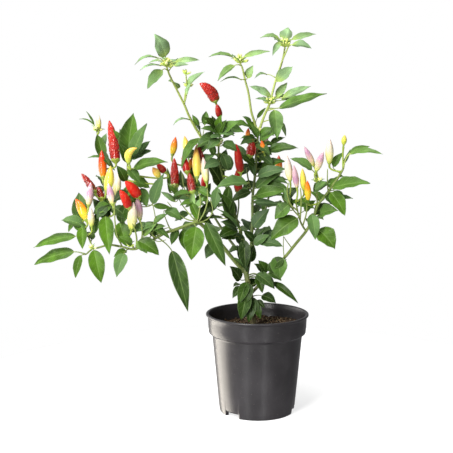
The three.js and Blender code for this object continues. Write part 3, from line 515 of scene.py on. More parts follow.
        "leaves": """
22 182 0 27 156 -8 20 0 3
12 166 2 34 179 4 13 0 2
46 227 -10 15 202 -24 23 0 4
36 243 -8 20 226 -14 17 0 2
62 283 0 37 296 -2 12 0 3
50 243 2 37 247 -2 8 0 1
54 236 4 67 248 2 11 0 1
86 262 -5 129 268 -20 18 0 3
84 257 -9 101 230 -20 17 0 3
88 259 2 99 241 -4 12 0 2
90 251 8 110 250 4 7 0 1
71 231 3 93 236 -4 18 0 3
62 232 -9 67 202 -18 14 0 3
70 214 -5 90 191 -16 23 0 3
66 260 -4 79 269 -10 13 0 1
86 287 8 98 303 5 10 0 1
105 302 3 128 310 6 8 20 3
106 301 -4 143 301 -18 9 0 5
98 290 3 106 307 8 4 30 1
60 222 8 76 226 38 17 0 3
72 246 10 62 258 40 16 0 3
84 262 8 98 276 38 16 0 3
36 244 -8 30 262 -10 7 0 1 0.7 0
52 250 -8 60 244 -12 10 0 1 0.55 0
30 250 0 46 262 4 14 0 2 0.1 0
34 236 -6 22 244 -8 12 0 2 0.6 0.5
44 246 0 66 238 -6 13 0 2 0.3 0.1
64 258 0 84 268 -4 13 0 2 0.35 0.5
40 240 4 26 256 6 12 0 2 0.2 0
66 232 6 84 244 10 14 0 2 0.1 0
30 180 -2 12 166 -6 13 0 2 0.1 0
14 164 2 28 154 -2 11 0 2 0.2 0.2
78 256 2 92 240 0 14 0 2 0.3 0.3
""",
        "fruits": """
cream 33 300 -8 37 271 -6 8.5 0
mauve 41 289 -14 45 263 -10 7 0
yellow 51 285 -8 53 260 -5 7 0
orange 57 271 -12 58 248 -8 7.5 0
mauve 53 310 2 64 288 4 7 0
mauve 75 304 -6 67 282 -4 8 0
cream 82 319 -2 82 291 0 9 0
yellow 99 323 0 98 312 1 6 0
""",
        "buds": """
70 268 0 2 8
""",
    },
    "branch_back_left": {
        "parent": "trunk", "sweep": 0, "shade": "dark",
        "stems": """
2.2 1.2 -18 184 8 -34 204 34 -52 232 58 -66 258 74 -76 284 82
""",
        "leaves": """
-40 214 50 -56 206 78 19 0 4
-36 210 30 -20 222 62 18 0 3
-52 236 68 -40 246 98 18 0 4
-58 240 66 -84 240 86 18 0 4
-68 258 82 -70 252 112 18 0 4
-66 262 66 -88 268 74 17 0 3
-76 284 88 -64 292 112 15 0 3
""",
        "fruits": """
red -58 286 88 -62 262 86 10 0
yellow -84 322 82 -80 299 80 9 0
""",
    },
    "branch_back_right": {
        "parent": "trunk", "sweep": 0, "shade": "dark",
        "stems": """
2.2 1.2 -8 190 12 -2 210 36 8 234 60 14 262 76 12 290 84
""",
        "leaves": """
0 212 50 16 204 78 19 0 4
-6 214 44 -22 210 72 17 0 3
6 236 68 -8 244 98 18 0 4
12 240 66 34 236 88 18 0 4
14 262 84 10 254 114 18 0 4
16 262 72 34 272 86 17 0 3
12 288 90 0 298 114 15 0 3
""",
        "fruits": """
orange 24 300 74 24 278 72 9 0
dark_red -2 316 84 2 294 84 9.5 0
""",
    },
}


def read_table(text):
    """Rows of numbers, and the words among them, from text with a row on each line."""
    rows = [line.split() for line in text.splitlines() if line]
    return [[float(word) if word[-1].isdigit() else word for word in row] for row in rows]


for spec in BRANCHES.values():
    for part in ("stems", "twigs", "leaves", "fruits", "buds"):
        spec[part] = read_table(spec.get(part, ""))


# ---- Places and directions ----
def place(x, z, depth):
    """The point seen at x and z on the upright plane, and this far behind it."""
    reach = (depth - EYE.y) / -EYE.y
    return (Vector((x, 0, z)) - EYE) * reach + EYE


def swept_depth(name, x, z):
    """What the branch's sweep, and its parents', add to the depth at x and z."""
    branch = BRANCHES[name]
    start_x, start_z = branch["stems"][0][2:4]
    start = swept_depth(branch["parent"], start_x, start_z) if branch["parent"] else 0
    return start + branch["sweep"] * math.hypot(x - start_x, z - start_z)


def place_on(name, x, z, depth):
    """The point for a place in the branch's tables."""
    return place(x, z, depth + swept_depth(name, x, z))


def across(axis, wanted):
    """The direction nearest to wanted that is square to axis."""
    return (wanted - axis * wanted.dot(axis)).normalized()


def direction(lift, turn):
    """The direction at these angles above the horizontal and round the upright axis."""
    return Vector((math.cos(lift) * math.cos(turn), math.cos(lift) * math.sin(turn), math.sin(lift)))


def circle(radius, count):
    turns = [2 * math.pi * index / count for index in range(count)]
    return [(radius * math.cos(turn), radius * math.sin(turn)) for turn in turns]


def lerp(a, b, share):
    return a + (b - a) * share


def smoothstep(low, high, value):
    share = min(max((value - low) / (high - low), 0), 1)
    return share * share * (3 - 2 * share)


def interpolate(table, at):
    """Smooth curve through (position, value) pairs."""
    for (a, va), (b, vb) in zip(table, table[1:]):
        if at <= b:
            return lerp(va, vb, smoothstep(a, b, at))
    return table[-1][1]


def smooth_path(points, radii, steps):
    """Catmull-Rom curve through the points, with the radius beside each point."""
    padded = [points[0] * 2 - points[1], *points, points[-1] * 2 - points[-2]]
    path = []
    for index in range(len(points) - 1):
        p0, p1, p2, p3 = padded[index : index + 4]
        for step in range(steps):
            t = step / steps
            point = 0.5 * (
                2 * p1
                + (p2 - p0) * t
                + (2 * p0 - 5 * p1 + 4 * p2 - p3) * t**2
                + (3 * p1 - p0 - 3 * p2 + p3) * t**3
            )
            path.append((point, lerp(radii[index], radii[index + 1], t)))
    path.append((points[-1], radii[-1]))
    return path


def bend_path(start, middle, end, steps):
    """Points along a quadratic curve that starts towards middle and ends coming from it."""
    shares = [step / steps for step in range(steps + 1)]
    return [start * (1 - t) ** 2 + middle * 2 * t * (1 - t) + end * t**2 for t in shares]


def rings_along(points, radii, sides, reshape=None):
    """Rings of points round a path. reshape(ring, turn) scales the radius."""
    rings = []
    side = None
    for index, point in enumerate(points):
        before = points[max(index - 1, 0)]
        after = points[min(index + 1, len(points) - 1)]
        along = (after - before).normalized()
        wanted = side or (Vector((1, 0, 0)) if abs(along.z) > 0.9 else Vector((0, 0, 1)))
        side = across(along, wanted)
        other = along.cross(side)
        ring = []
        for step in range(sides):
            turn = 2 * math.pi * step / sides
            radius = radii[index] * (reshape(index, turn) if reshape else 1)
            ring.append(point + side * radius * math.cos(turn) + other * radius * math.sin(turn))
        rings.append(ring)
    return rings


# ---- Meshes ----
STEM, LEAF, CALYX, BUD = range(4)  # the order of a branch's materials
NO_VALUES = (0, 0, 0)


class Skin:
    """A piece being gathered: points, faces, each face's material, and two sets of values on the points.
    lay is (along, across or round, underside). tint is (shade, chance, last), and last is how woody a stem is,
    how much painted grey-green sheen a leaf has, or whether a fruit is wrinkled."""

    def __init__(self):
        self.points, self.faces, self.kinds, self.lay, self.tint = [], [], [], [], []

    def add_point(self, point, lay, tint):
        self.points.append(point)
        self.lay.append(lay)
        self.tint.append(tint)
        return len(self.points) - 1

    def add_face(self, corners, kind):
        self.faces.append(corners)
        self.kinds.append(kind)

    def tube(self, rings, kind, lays=NO_VALUES, tints=NO_VALUES):
        """Rings of the same count of points, joined and closed at both ends. lays and tints are one tuple for
        all of it, or a list with a tuple for each ring; lays may also hold a list of tuples for each ring."""
        lays, tints = ([values] * len(rings) if isinstance(values, tuple) else values for values in (lays, tints))
        count = len(rings[0])
        start = len(self.points)
        for ring, lay, tint in zip(rings, lays, tints):
            for index, point in enumerate(ring):
                self.add_point(point, lay[index] if isinstance(lay, list) else lay, tint)

        def edges(row):
            first = start + row * count
            return [(first + index, first + (index + 1) % count) for index in range(count)]

        for row in range(len(rings) - 1):
            for a, b in edges(row):
                self.add_face((a, b, b + count, a + count), kind)
        for row, flip in ((0, True), (len(rings) - 1, False)):
            lay = lays[row][0] if isinstance(lays[row], list) else lays[row]
            centre = self.add_point(sum(rings[row], Vector()) / count, lay, tints[row])
            for a, b in edges(row):
                self.add_face((b, a, centre) if flip else (a, b, centre), kind)

    def build(self, name, materials, slot, *nodes):
        mesh = bpy.data.meshes.new(name)
        mesh.from_pydata([point * MM for point in self.points], [], self.faces)
        mesh.polygons.foreach_set("material_index", self.kinds)
        mesh.polygons.foreach_set("use_smooth", [True] * len(self.faces))
        for label, values in (("lay", self.lay), ("tint", self.tint)):
            attribute = mesh.attributes.new(label, "FLOAT_VECTOR", "POINT")
            attribute.data.foreach_set("vector", [number for value in values for number in value])
        for material in materials:
            mesh.materials.append(material)
        mesh.update()
        piece = bpy.data.objects.new(name, mesh)
        bpy.context.scene.collection.objects.link(piece)
        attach(piece, "root")
        if nodes:
            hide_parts(*nodes)
        return piece


# ---- Stems ----
STEM_SIDES = 12
STEM_STEPS = 7
RISE_PENALTY = 0.6
ROOT_INSET = 0.3
TIP_THINNESS = 0.7
STALK_TURN = 0.35  # how far from its end the stalk of a leaf or fruit turns, as a share of its reach
WOODY_Z, GREEN_Z = 104, 178
KNOT_SIZE, KNOT_SCALE = 0.10, 0.11
RIDGES, RIDGE_DEPTH, RIDGE_TWIST = 5, 0.05, 0.02
# How thick the stems are for those of the solids.
BRANCH_SLIMNESS = {"dark": 0.78, "mid": 0.82, "pale": 1.0}


def read_stems(name, rows, slimness=1):
    stems = []
    for start, end, *numbers in rows:
        points = [place_on(name, *numbers[index : index + 3]) for index in range(0, len(numbers), 3)]
        radii = [slimness * lerp(start, end, index / (len(points) - 1)) for index in range(len(points))]
        stems.append(smooth_path(points, radii, STEM_STEPS))
    return stems


def root_on_stems(stems, target):
    """Where a leaf or fruit grows on the stems: near it, rather below it, and just inside the stem."""

    def cost(spot):
        return (spot[0] - target).length + RISE_PENALTY * max(0, spot[0].z - target.z)

    point, radius = min((spot for stem in stems for spot in stem[1:]), key=cost)
    return point + (target - point).normalized() * ROOT_INSET * radius


def wood_at(point):
    """How woody the bark is: grey-brown at the foot of the trunk, green above."""
    return 1 - smoothstep(WOODY_Z, GREEN_Z, point.z)


def lays_by_height(points):
    return [(point.z / 100, 0, 0) for point in points]


def add_stem(skin, stem, shade, chance):
    points = [point for point, _ in stem]
    knots = [1 + KNOT_SIZE * max(0, noise.noise(point * KNOT_SCALE)) for point in points]
    radii = [radius * knot for (_, radius), knot in zip(stem, knots)]
    radii[-1] *= TIP_THINNESS

    def ridged(index, turn):
        return 1 + RIDGE_DEPTH * math.cos(RIDGES * turn + RIDGE_TWIST * points[index].z)

    rings = rings_along(points, radii, STEM_SIDES, ridged)
    skin.tube(rings, STEM, lays_by_height(points), [(shade, chance, wood_at(point)) for point in points])


# ---- Leaves ----
BLADE_FOLD = (0.14, 0.46)  # least and most, as a slope
BLADE_WAVE = 0.05
TIP_DROOP, DROOP_START = 0.05, 0.6
QUILT_DEPTH = 0.02
# The groove along the top and the rib underneath: their depth, and their width as a share of half the blade.
GROOVE_DEPTH, GROOVE_WIDTH = 0.3, 0.1
RIB_DEPTH, RIB_WIDTH = 1.5, 0.12
# How broad the leaves are for those of the solids.
BREADTH = {"dark": 1, "mid": 1, "pale": 1.12}
BASE_ROUNDNESS = 0.6
TIP_SHARPNESS = 1.06
PETIOLE_RADIUS, PETIOLE_SIDES, PETIOLE_STEPS = 0.75, 8, 7
FRONT_FACING = Vector((0, -0.75, 0.65))
BACK_FACING = Vector((0, 0.5, 0.86))
BACKWARD_LEAF = 12  # a leaf whose tip is this much deeper than its base faces backwards
BLADE_COLUMNS = (-1, -0.96, -0.8, -0.58, -0.36, -0.16, -0.06, 0, 0.06, 0.16, 0.36, 0.58, 0.8, 0.96, 1)
SIDE_VEINS, VEIN_SLANT = 6, 1.6
LEAST_ROWS, MOST_ROWS, ROW_LENGTH = 9, 26, 2.4
LEAF_NUMBERS = 9  # in the row of a leaf that the solids have
HALF_BLADE = 0.2
# The stalk under the blade: the shares of the blade's length where it joins and ends, and how far it is below.
JOINT, JOINT_DEPTH = 0.05, 0.35
STALK_END, END_DEPTH, END_RADIUS = 0.16, 0.45, 0.3


def blade_outline(t):
    """How broad a blade is at share t of its length, from 0 to 1."""

    def outline(u):
        return u**BASE_ROUNDNESS * (1 - u) ** TIP_SHARPNESS

    return outline(t) / outline(BASE_ROUNDNESS / (BASE_ROUNDNESS + TIP_SHARPNESS))


def turned(vector, axis, degrees):
    angle = math.radians(degrees)
    return vector * math.cos(angle) + axis.cross(vector) * math.sin(angle)


def span_frame(name, base_place, tip_place):
    """Where a leaf or a fruit is, from two places on the branch."""
    base, tip = place_on(name, *base_place), place_on(name, *tip_place)
    return {"base": base, "axis": (tip - base).normalized(), "length": (tip - base).length}


def middle_point(part, t):
    """The point at share t of the length of a leaf or a fruit, which is arched towards its normal."""
    along = part["base"] + part["axis"] * part["length"] * t
    return along + part["normal"] * 4 * part["arch"] * t * (1 - t)


def leaf_frame(name, spec):
    leaf = span_frame(name, spec[:3], spec[3:6])
    width, roll, arch = spec[6:]
    facing = BACK_FACING if spec[5] - spec[2] > BACKWARD_LEAF else FRONT_FACING
    normal = turned(across(leaf["axis"], facing), leaf["axis"], roll)
    width *= BREADTH[BRANCHES[name]["shade"]]
    return {**leaf, "normal": normal, "side": normal.cross(leaf["axis"]), "width": width, "arch": arch}


def add_leaf(skin, stems, leaf, shade, chance, painted_sheen=0):
    """A blade with its fold, waves and veins, and the stalk that joins it to the stems."""
    length = leaf["length"]
    rows = max(LEAST_ROWS, min(MOST_ROWS, round(length / ROW_LENGTH)))
    fold = lerp(*BLADE_FOLD, chance)
    waves = 1.6 + 1.2 * chance + length / 60
    phases = (6.3 * chance, 6.3 * chance + 2.1 + 1.7 * chance)
    droop = leaf["normal"] * (-TIP_DROOP - TIP_DROOP * chance) * length
    rings, lays = [], []
    for row in range(rows + 1):
        t = 0.5 - 0.5 * math.cos(math.pi * (0.03 + 0.965 * row / rows))
        half = leaf["width"] / 2 * blade_outline(t)
        middle = middle_point(leaf, t) + droop * max(0, t - DROOP_START) ** 2
        ridge = 0.4 * (1 - t) ** 0.7 + 0.08
        top, under = [], []
        for s in BLADE_COLUMNS:
            margin = abs(s) ** 2.2
            wave = BLADE_WAVE * leaf["width"] * margin
            wave *= math.sin(2 * math.pi * waves * t + phases[s > 0]) * smoothstep(0, 0.2, t)
            lift = fold * half * abs(s) ** 1.25 + wave
            quilt = QUILT_DEPTH * leaf["width"] * (1 - margin) * abs(s)
            lift += quilt * math.cos(2 * math.pi * (SIDE_VEINS * t - VEIN_SLANT * abs(s)))
            point = middle + leaf["side"] * half * s + leaf["normal"] * lift
            thick = HALF_BLADE * (1 - margin)
            groove = GROOVE_DEPTH * ridge * max(0, 1 - abs(s) / GROOVE_WIDTH)
            top.append(point + leaf["normal"] * (thick - groove))
            rib = RIB_DEPTH * ridge * max(0, 1 - abs(s) / RIB_WIDTH)
            under.append(point - leaf["normal"] * (thick + rib))
        rings.append(top + under[-2:0:-1])
        lays.append([(t, s, 0) for s in BLADE_COLUMNS] + [(t, s, 1) for s in BLADE_COLUMNS[-2:0:-1]])
    skin.tube([ring[::-1] for ring in rings], LEAF, [lay[::-1] for lay in lays], (shade, chance, painted_sheen))

    # The stalk, which ends just under the blade.
    root = root_on_stems(stems, leaf["base"])
    joint = middle_point(leaf, JOINT) - leaf["normal"] * JOINT_DEPTH
    reach = (joint - root).length
    bend = joint - leaf["axis"] * STALK_TURN * reach
    points = bend_path(root, bend, joint, PETIOLE_STEPS)
    points.append(middle_point(leaf, STALK_END) - leaf["normal"] * END_DEPTH)
    share = min(1, 0.5 + length / 70)
    radii = [lerp(1.25, 0.8, smoothstep(0, 3, i)) * PETIOLE_RADIUS * share for i in range(len(points) - 1)]
    radii.append(END_RADIUS)
    rings = rings_along(points, radii, PETIOLE_SIDES)
    skin.tube(rings, STEM, lays_by_height(points), (min(1, shade + 0.15), chance, 0))


# ---- Fruits ----
FRUIT_SIDES, WRINKLED_SIDES = 22, 48
BROAD_PROFILE = (
    (0, 0.30), (0.03, 0.38), (0.1, 0.455), (0.22, 0.5), (0.42, 0.487), (0.62, 0.42), (0.78, 0.315),
    (0.9, 0.185), (0.965, 0.09), (1, 0.02),
)
SLIM_PROFILE = (
    (0, 0.21), (0.05, 0.29), (0.14, 0.385), (0.26, 0.465), (0.4, 0.5), (0.55, 0.475), (0.7, 0.39),
    (0.83, 0.26), (0.92, 0.15), (0.97, 0.075), (1, 0.02),
)
BROAD_COLOURS = ("red", "dark_red")
WRINKLED = (9, 11, 12, 20, 22, 27, 31)
# How ripe some fruits are, from their unripe colour to their ripe one; the others are drawn by lot.
RIPENESS = {
    10: 0.95, 13: 0.75, 14: 0.12, 16: 0.3, 19: 0.2, 23: 0.8, 32: 0.45, 34: 0.3, 35: 0.7, 36: 0.9, 38: 0, 42: 0,
}
FRUIT_ROWS, WRINKLED_ROWS = 30, 76
WRINKLE_DEPTH, SKIN_UNEVENNESS = 0.13, 0.025
FOLD_DEPTH, DEEPEST_FOLD = 2.4, 0.3
LOBES, LOBE_SIZE = 3, 0.035
SLIM_CUP = 0.68  # the calyx of a slim fruit for that of a broad one
CALYX_LENGTH = 4
PEDICEL_RADIUS, PEDICEL_STEPS = 0.95, 9
CALYX_SIDES = 20
CALYX_TEETH = 5
# The rings of the teeth, up over the fruit's shoulders and back under: how far up, and how far out.
CALYX_RINGS = ((0.9, 1.17), (1.9, 1.27), (1.85, 1.2), (0.6, 1.08))


def fruit_frame(name, spec):
    fruit = span_frame(name, spec[4:7], spec[1:4])
    right = Vector((fruit["axis"].z, 0, -fruit["axis"].x)).normalized()
    return {**fruit, "colour": spec[0], "normal": right, "diameter": spec[7], "arch": spec[8]}


def add_fruit(skin, fruit, number):
    """A fruit with a slightly uneven skin, or with deep folds across it if it is one of the wrinkled ones."""
    chance = RIPENESS.get(number, random.Random(SEED + number).uniform(0.25, 0.75))
    wrinkled = number in WRINKLED
    wrinkle = WRINKLE_DEPTH if wrinkled else SKIN_UNEVENNESS
    rows, sides = (WRINKLED_ROWS, WRINKLED_SIDES) if wrinkled else (FRUIT_ROWS, FRUIT_SIDES)
    shares = [0.5 - 0.5 * math.cos(math.pi * row / rows) for row in range(rows + 1)]
    points = [middle_point(fruit, t * 0.985) for t in shares]
    profile = BROAD_PROFILE if fruit["colour"] in BROAD_COLOURS else SLIM_PROFILE
    radii = [fruit["diameter"] * interpolate(profile, t) for t in shares]

    def dented(index, turn):
        t = shares[index]

        def skin_spot(round_scale, long_scale, gap):
            """A place in the noise, each fruit's own part of it apart from the next."""
            height = t * fruit["length"] * long_scale + gap * number
            return Vector((math.cos(turn) * round_scale, math.sin(turn) * round_scale, height))

        lobes = LOBE_SIZE * math.cos(LOBES * turn + 6 * chance) * (1 - t)
        spot = skin_spot(2.1, 0.17, 9)
        crease = noise.noise(spot) + 0.5 * noise.noise(spot * 2.3)
        fade = math.sin(math.pi * min(1, t + 0.12))
        if wrinkled:
            spot = skin_spot(1.7, 0.45, 5)
            folds = FOLD_DEPTH * min(DEEPEST_FOLD, abs(noise.noise(spot)))
            crease -= folds + 0.5 * FOLD_DEPTH * abs(noise.noise(spot * 2.2))
        return 1 + lobes + wrinkle * crease * fade

    rings = rings_along(points, radii, sides, dented)
    turns = [index / sides for index in range(sides)]
    lays = [[(t, turn, 0) for turn in turns] for t in shares]
    skin.tube(rings, 0, lays, (0, chance, int(wrinkled)))


def add_stalk(skin, stems, fruit, shade, chance):
    """The fruit's stalk, and the toothed calyx that holds the fruit's shoulders."""
    seat = middle_point(fruit, 0)
    down = -(fruit["axis"] + fruit["normal"] * (4 * fruit["arch"] / fruit["length"])).normalized()
    neck = seat + down * CALYX_LENGTH
    root = root_on_stems(stems, neck)
    bend = neck + down * STALK_TURN * (neck - root).length
    points = bend_path(root, bend, neck, PEDICEL_STEPS)
    radii = [PEDICEL_RADIUS * (1 + 0.25 * abs(2 * i / PEDICEL_STEPS - 1) ** 3) for i in range(len(points))]
    size = fruit["diameter"] * (1 if fruit["colour"] in BROAD_COLOURS else SLIM_CUP)
    # Each ring of the cup: how far below the fruit's seat it is, and its radius.
    cup = ((3.4, 1.2), (2.3, 0.17 * size), (1.2, 0.26 * size), (0.3, 0.34 * size))
    points += [seat + down * height for height, _ in cup]
    radii += [max(radius, PEDICEL_RADIUS) for _, radius in cup]
    rings = rings_along(points, radii, CALYX_SIDES)
    outer = rings[-1]
    middle = sum(outer, Vector()) / CALYX_SIDES
    for lift, spread in CALYX_RINGS:
        ring = []
        for index, point in enumerate(outer):
            tooth = 0.5 + 0.5 * math.cos(2 * math.pi * CALYX_TEETH * index / CALYX_SIDES + 1)
            rise = lift * (0.55 + 0.75 * tooth)
            ring.append(middle + (point - middle) * spread - down * rise)
        rings.append(ring)
    lays = [(index / len(rings), 0, 0) for index in range(len(rings))]
    skin.tube(rings, CALYX, lays, (shade, chance, 0))


# ---- Buds and the smallest leaves ----
GOLDEN_ANGLE = math.pi * (3 - math.sqrt(5))
BUD_LENGTH = 5.5
BUD_PROFILE = ((0, 0.75), (0.12, 1.15), (0.2, 1.0), (0.45, 1.5), (0.7, 1.35), (0.9, 0.8), (1, 0.3))
BUD_SIDES = 10
BUD_STALK_RADII, BUD_STALK_SIDES = (0.6, 0.52, 0.5, 0.55, 0.7), 7
BUDS_FOR_EACH = 4.2
LEAFLETS_FOR_EACH = 2.2


def add_buds(skin, name, spray, shade, chance):
    """A cluster of stalked buds that fans out from one place, with the smallest leaves among them."""
    x, z, depth, count, reach = spray
    centre = place_on(name, x, z, depth)
    draw = random.Random(SEED + round(x * 7 + z))
    total = round(count * BUDS_FOR_EACH)
    for index in range(total):
        lift = math.radians(14 + 68 * (index + 0.5) / total)
        along = direction(lift, index * GOLDEN_ANGLE)
        far = reach * draw.uniform(0.62, 1.08)
        size = draw.uniform(0.75, 1.2)
        neck = centre + along * max(1, far - BUD_LENGTH * size)
        bow = centre.lerp(neck, 0.5) + Vector((0, 0, -0.12 * far))
        stalk = bend_path(centre, bow, neck, len(BUD_STALK_RADII) - 1)
        skin.tube(rings_along(stalk, BUD_STALK_RADII, BUD_STALK_SIDES), CALYX, tints=(shade, chance, 0))
        points = [neck + along * BUD_LENGTH * size * t for t, _ in BUD_PROFILE]
        rings = rings_along(points, [radius * size for _, radius in BUD_PROFILE], BUD_SIDES)
        skin.tube(rings, BUD, [(t, 0, 0) for t, _ in BUD_PROFILE], (shade, draw.random(), 0))
    for index in range(round(count * LEAFLETS_FOR_EACH)):
        lift = math.radians(draw.uniform(8, 62))
        along = direction(lift, (index + 0.5) * GOLDEN_ANGLE + 1)
        length = reach * draw.uniform(0.75, 1.1)
        base = centre + along * 2
        leaf = {
            "base": base, "axis": along, "length": length, "width": length * draw.uniform(0.24, 0.36),
            "normal": across(along, Vector((0, -0.3, 1))), "arch": 0.12 * length,
        }
        leaf["side"] = leaf["normal"].cross(along)
        add_leaf(skin, [[(centre, 0.6)] * 2], leaf, min(1, shade + 0.1), draw.random())


# ---- Pot ----
POT_COLUMNS = 144
POT_HEIGHT = 116
NOTCH_ANGLES = (-43, 77, 197)
NOTCH_WIDTH = 20
NOTCH_HEIGHT = 5.5
FOOT_RADIUS = 44.1
HALF_NOTCH = math.degrees(math.asin(NOTCH_WIDTH / 2 / FOOT_RADIUS))
NOTCH_SIDE = 0.15  # half the turn taken up by a notch's upright side, in degrees
NOTCH_CLEARANCE = 0.9  # other columns keep this far from a notch's side
# Radius and height: the foot ring; then up the outside, over the rolled lip, down the inside and across to
# the middle; then the underside of the floor.
FOOT_PROFILE = ((40.1, 6), (40.1, 0.4), (40.5, 0), (42.9, 0), (43.7, 0.35), (44.1, 1.6))
WALL_PROFILE = (
    (44.7, 7.5), (46.3, 24), (48.0, 42), (49.7, 60), (51.2, 76), (52.5, 89.6), (52.9, 91.2), (53.8, 92.2),
    (55.6, 93.2), (56.4, 93.6), (56.8, 94.4), (57.2, 100), (57.55, 107), (57.8, 112.2), (58.3, 113.1),
    (59.4, 113.6), (59.9, 114.1), (60, 114.9), (59.75, 115.6), (59.2, 116), (57.6, 116), (56.9, 115.7),
    (56.5, 115), (56.2, 108), (55.6, 96.4), (55.2, 95.4), (54.2, 94.6), (52.6, 93.9), (51.5, 92.3),
    (49.6, 72), (47.3, 50), (45.0, 28), (42.8, 8.6), (41.6, 7.4), (24, 7.3), (0.5, 7.3),
)
FLOOR_PROFILE = ((0.5, 6), (20, 6), (39.6, 6))


def apart(a, b):
    """How far apart two angles are, in degrees."""
    return abs((a - b + 180) % 360 - 180)


def pot_angles():
    """Degrees round the pot, with two close columns at each side of every notch."""
    angles = [360 * index / POT_COLUMNS for index in range(POT_COLUMNS)]
    for middle in NOTCH_ANGLES:
        edges = [middle - HALF_NOTCH, middle + HALF_NOTCH]
        angles = [angle for angle in angles if all(apart(angle, edge) > NOTCH_CLEARANCE for edge in edges)]
        angles += [(edge + nudge) % 360 for edge in edges for nudge in (-NOTCH_SIDE, NOTCH_SIDE)]
    return sorted(angles)


def in_notch(angle):
    return any(apart(angle, middle) < HALF_NOTCH for middle in NOTCH_ANGLES)


def make_pot(material):
    """The pot turned from its profile, with the foot ring cut away at the notches."""
    skin = Skin()
    profile = FOOT_PROFILE + WALL_PROFILE + FLOOR_PROFILE
    angles = pot_angles()
    for angle in angles:
        turn = math.radians(angle)
        for row, (radius, z) in enumerate(profile):
            if row < len(FOOT_PROFILE) and in_notch(angle):
                z = max(z, NOTCH_HEIGHT)
            point = Vector((radius * math.sin(turn), -radius * math.cos(turn), z))
            skin.add_point(point, (z / POT_HEIGHT, angle / 360, 0), NO_VALUES)
    rows = len(profile)
    inside = rows - len(FLOOR_PROFILE) - 1  # the last row above the floor; the next one is below it
    for column in range(len(angles)):
        here, there = column * rows, (column + 1) % len(angles) * rows
        for row in range(rows):
            upper = (row + 1) % rows
            if row != inside:
                skin.add_face((here + row, there + row, there + upper, here + upper), 0)
    for row, way in ((inside, 1), (inside + 1, -1)):
        skin.add_face(tuple(column * rows + row for column in range(len(angles)))[::way], 0)
    return skin.build("pot_shell", [material], "pot", "pot")


# ---- Soil ----
SOIL_EDGE_Z = 99
SOIL_RISE = 3
LIP_RADIUS = 60
SOIL_RADIUS = 54.9
SOIL_RINGS = 46
SOIL_COLUMNS = 150
# Radius and height down the side of the soil, just inside the pot.
SOIL_SIDES = ((SOIL_RADIUS - 0.2, 96), (51, 92.8), (42.3, 9), (41.5, 7.8))
CRUMB_COUNT, CRUMB_REACH, GRIT_SHARE = 620, 53.5, 0.13
ROOTLET_COUNT, ROOTLET_REACH, ROOTLET_STEP, SOIL_LIMIT = 90, 50, 1.7, 53
LUMP_ROWS, LUMP_SIDES = 5, 7
CRUMB, GRIT, ROOTLET = range(3)  # the order of the crumbs' materials


def soil_top(x, y):
    lumps = math.sin(x / 5.1 + 0.7) * math.cos(y / 4.3) + 0.6 * math.sin(x / 2.9 - y / 3.7)
    return SOIL_EDGE_Z + lumps + SOIL_RISE * x / LIP_RADIUS


def soil_surface(x, y):
    rough = noise.fractal(Vector((x, y, 3)) * 0.35, 0.9, 2.1, 4)
    crumbs = max(0, noise.noise(Vector((x, y, 8)) * 0.8)) * 1.6
    return soil_top(x, y) + 0.9 * rough + crumbs


def make_soil(material):
    skin = Skin()
    radii = [max(0.4, SOIL_RADIUS * step / SOIL_RINGS) for step in range(SOIL_RINGS + 1)]
    rings = [[Vector((x, y, soil_surface(x, y))) for x, y in circle(radius, SOIL_COLUMNS)] for radius in radii]
    rings += [[Vector((x, y, z)) for x, y in circle(radius, SOIL_COLUMNS)] for radius, z in SOIL_SIDES]
    skin.tube(rings[::-1], 0)
    skin.build("soil_body", [material], "soil", "soil")


def add_lump(skin, centre, size, draw, kind):
    """A small broken lump: a rough ball squashed at random."""
    squash = Vector((draw.uniform(0.7, 1.2), draw.uniform(0.7, 1.2), draw.uniform(0.45, 0.9)))
    offset = draw.uniform(0, 50)
    rings = []
    for row in range(1, LUMP_ROWS):
        tilt = math.pi * row / LUMP_ROWS
        ring = []
        for index in range(LUMP_SIDES):
            turn = 2 * math.pi * index / LUMP_SIDES
            out = Vector((math.sin(tilt) * math.cos(turn), math.sin(tilt) * math.sin(turn), -math.cos(tilt)))
            bump = 1 + 0.35 * noise.noise(out * 1.7 + Vector((offset, 0, 0)))
            ring.append(centre + Vector(a * b for a, b in zip(out, squash)) * size * bump)
        rings.append(ring)
    skin.tube(rings, kind, tints=(0, draw.random(), 0))


def random_spot(draw, reach):
    """The distance from the axis and the angle round it, spread evenly over a disc."""
    radius = reach * math.sqrt(draw.random())
    turn = draw.uniform(0, 2 * math.pi)
    return radius, turn


def make_crumbs(materials):
    """Crumbs of compost, bits of bark, pale grit and loose rootlets on top of the soil."""
    skin = Skin()
    draw = random.Random(SEED)
    for _ in range(CRUMB_COUNT):
        radius, turn = random_spot(draw, CRUMB_REACH)
        x, y = radius * math.cos(turn), radius * math.sin(turn)
        pale = draw.random() < GRIT_SHARE
        size = draw.uniform(0.35, 0.8) if pale else draw.uniform(0.5, 1.7)
        add_lump(skin, Vector((x, y, soil_surface(x, y) + 0.25 * size)), size, draw, GRIT if pale else CRUMB)
    for _ in range(ROOTLET_COUNT):
        radius, turn = random_spot(draw, ROOTLET_REACH)
        heading = draw.uniform(0, 2 * math.pi)
        x, y = radius * math.cos(turn), radius * math.sin(turn)
        points = []
        for _ in range(draw.randint(5, 9)):
            points.append(Vector((x, y, soil_surface(x, y) + 0.25 + 0.5 * draw.random())))
            heading += draw.uniform(-0.6, 0.6)
            x += ROOTLET_STEP * math.cos(heading)
            y += ROOTLET_STEP * math.sin(heading)
            if math.hypot(x, y) > SOIL_LIMIT:
                break
        if len(points) > 2:
            width = draw.uniform(0.16, 0.34)
            skin.tube(rings_along(points, [width] * len(points), 5), ROOTLET, tints=(0, draw.random(), 0))
    skin.build("soil_crumbs", materials, "soil")


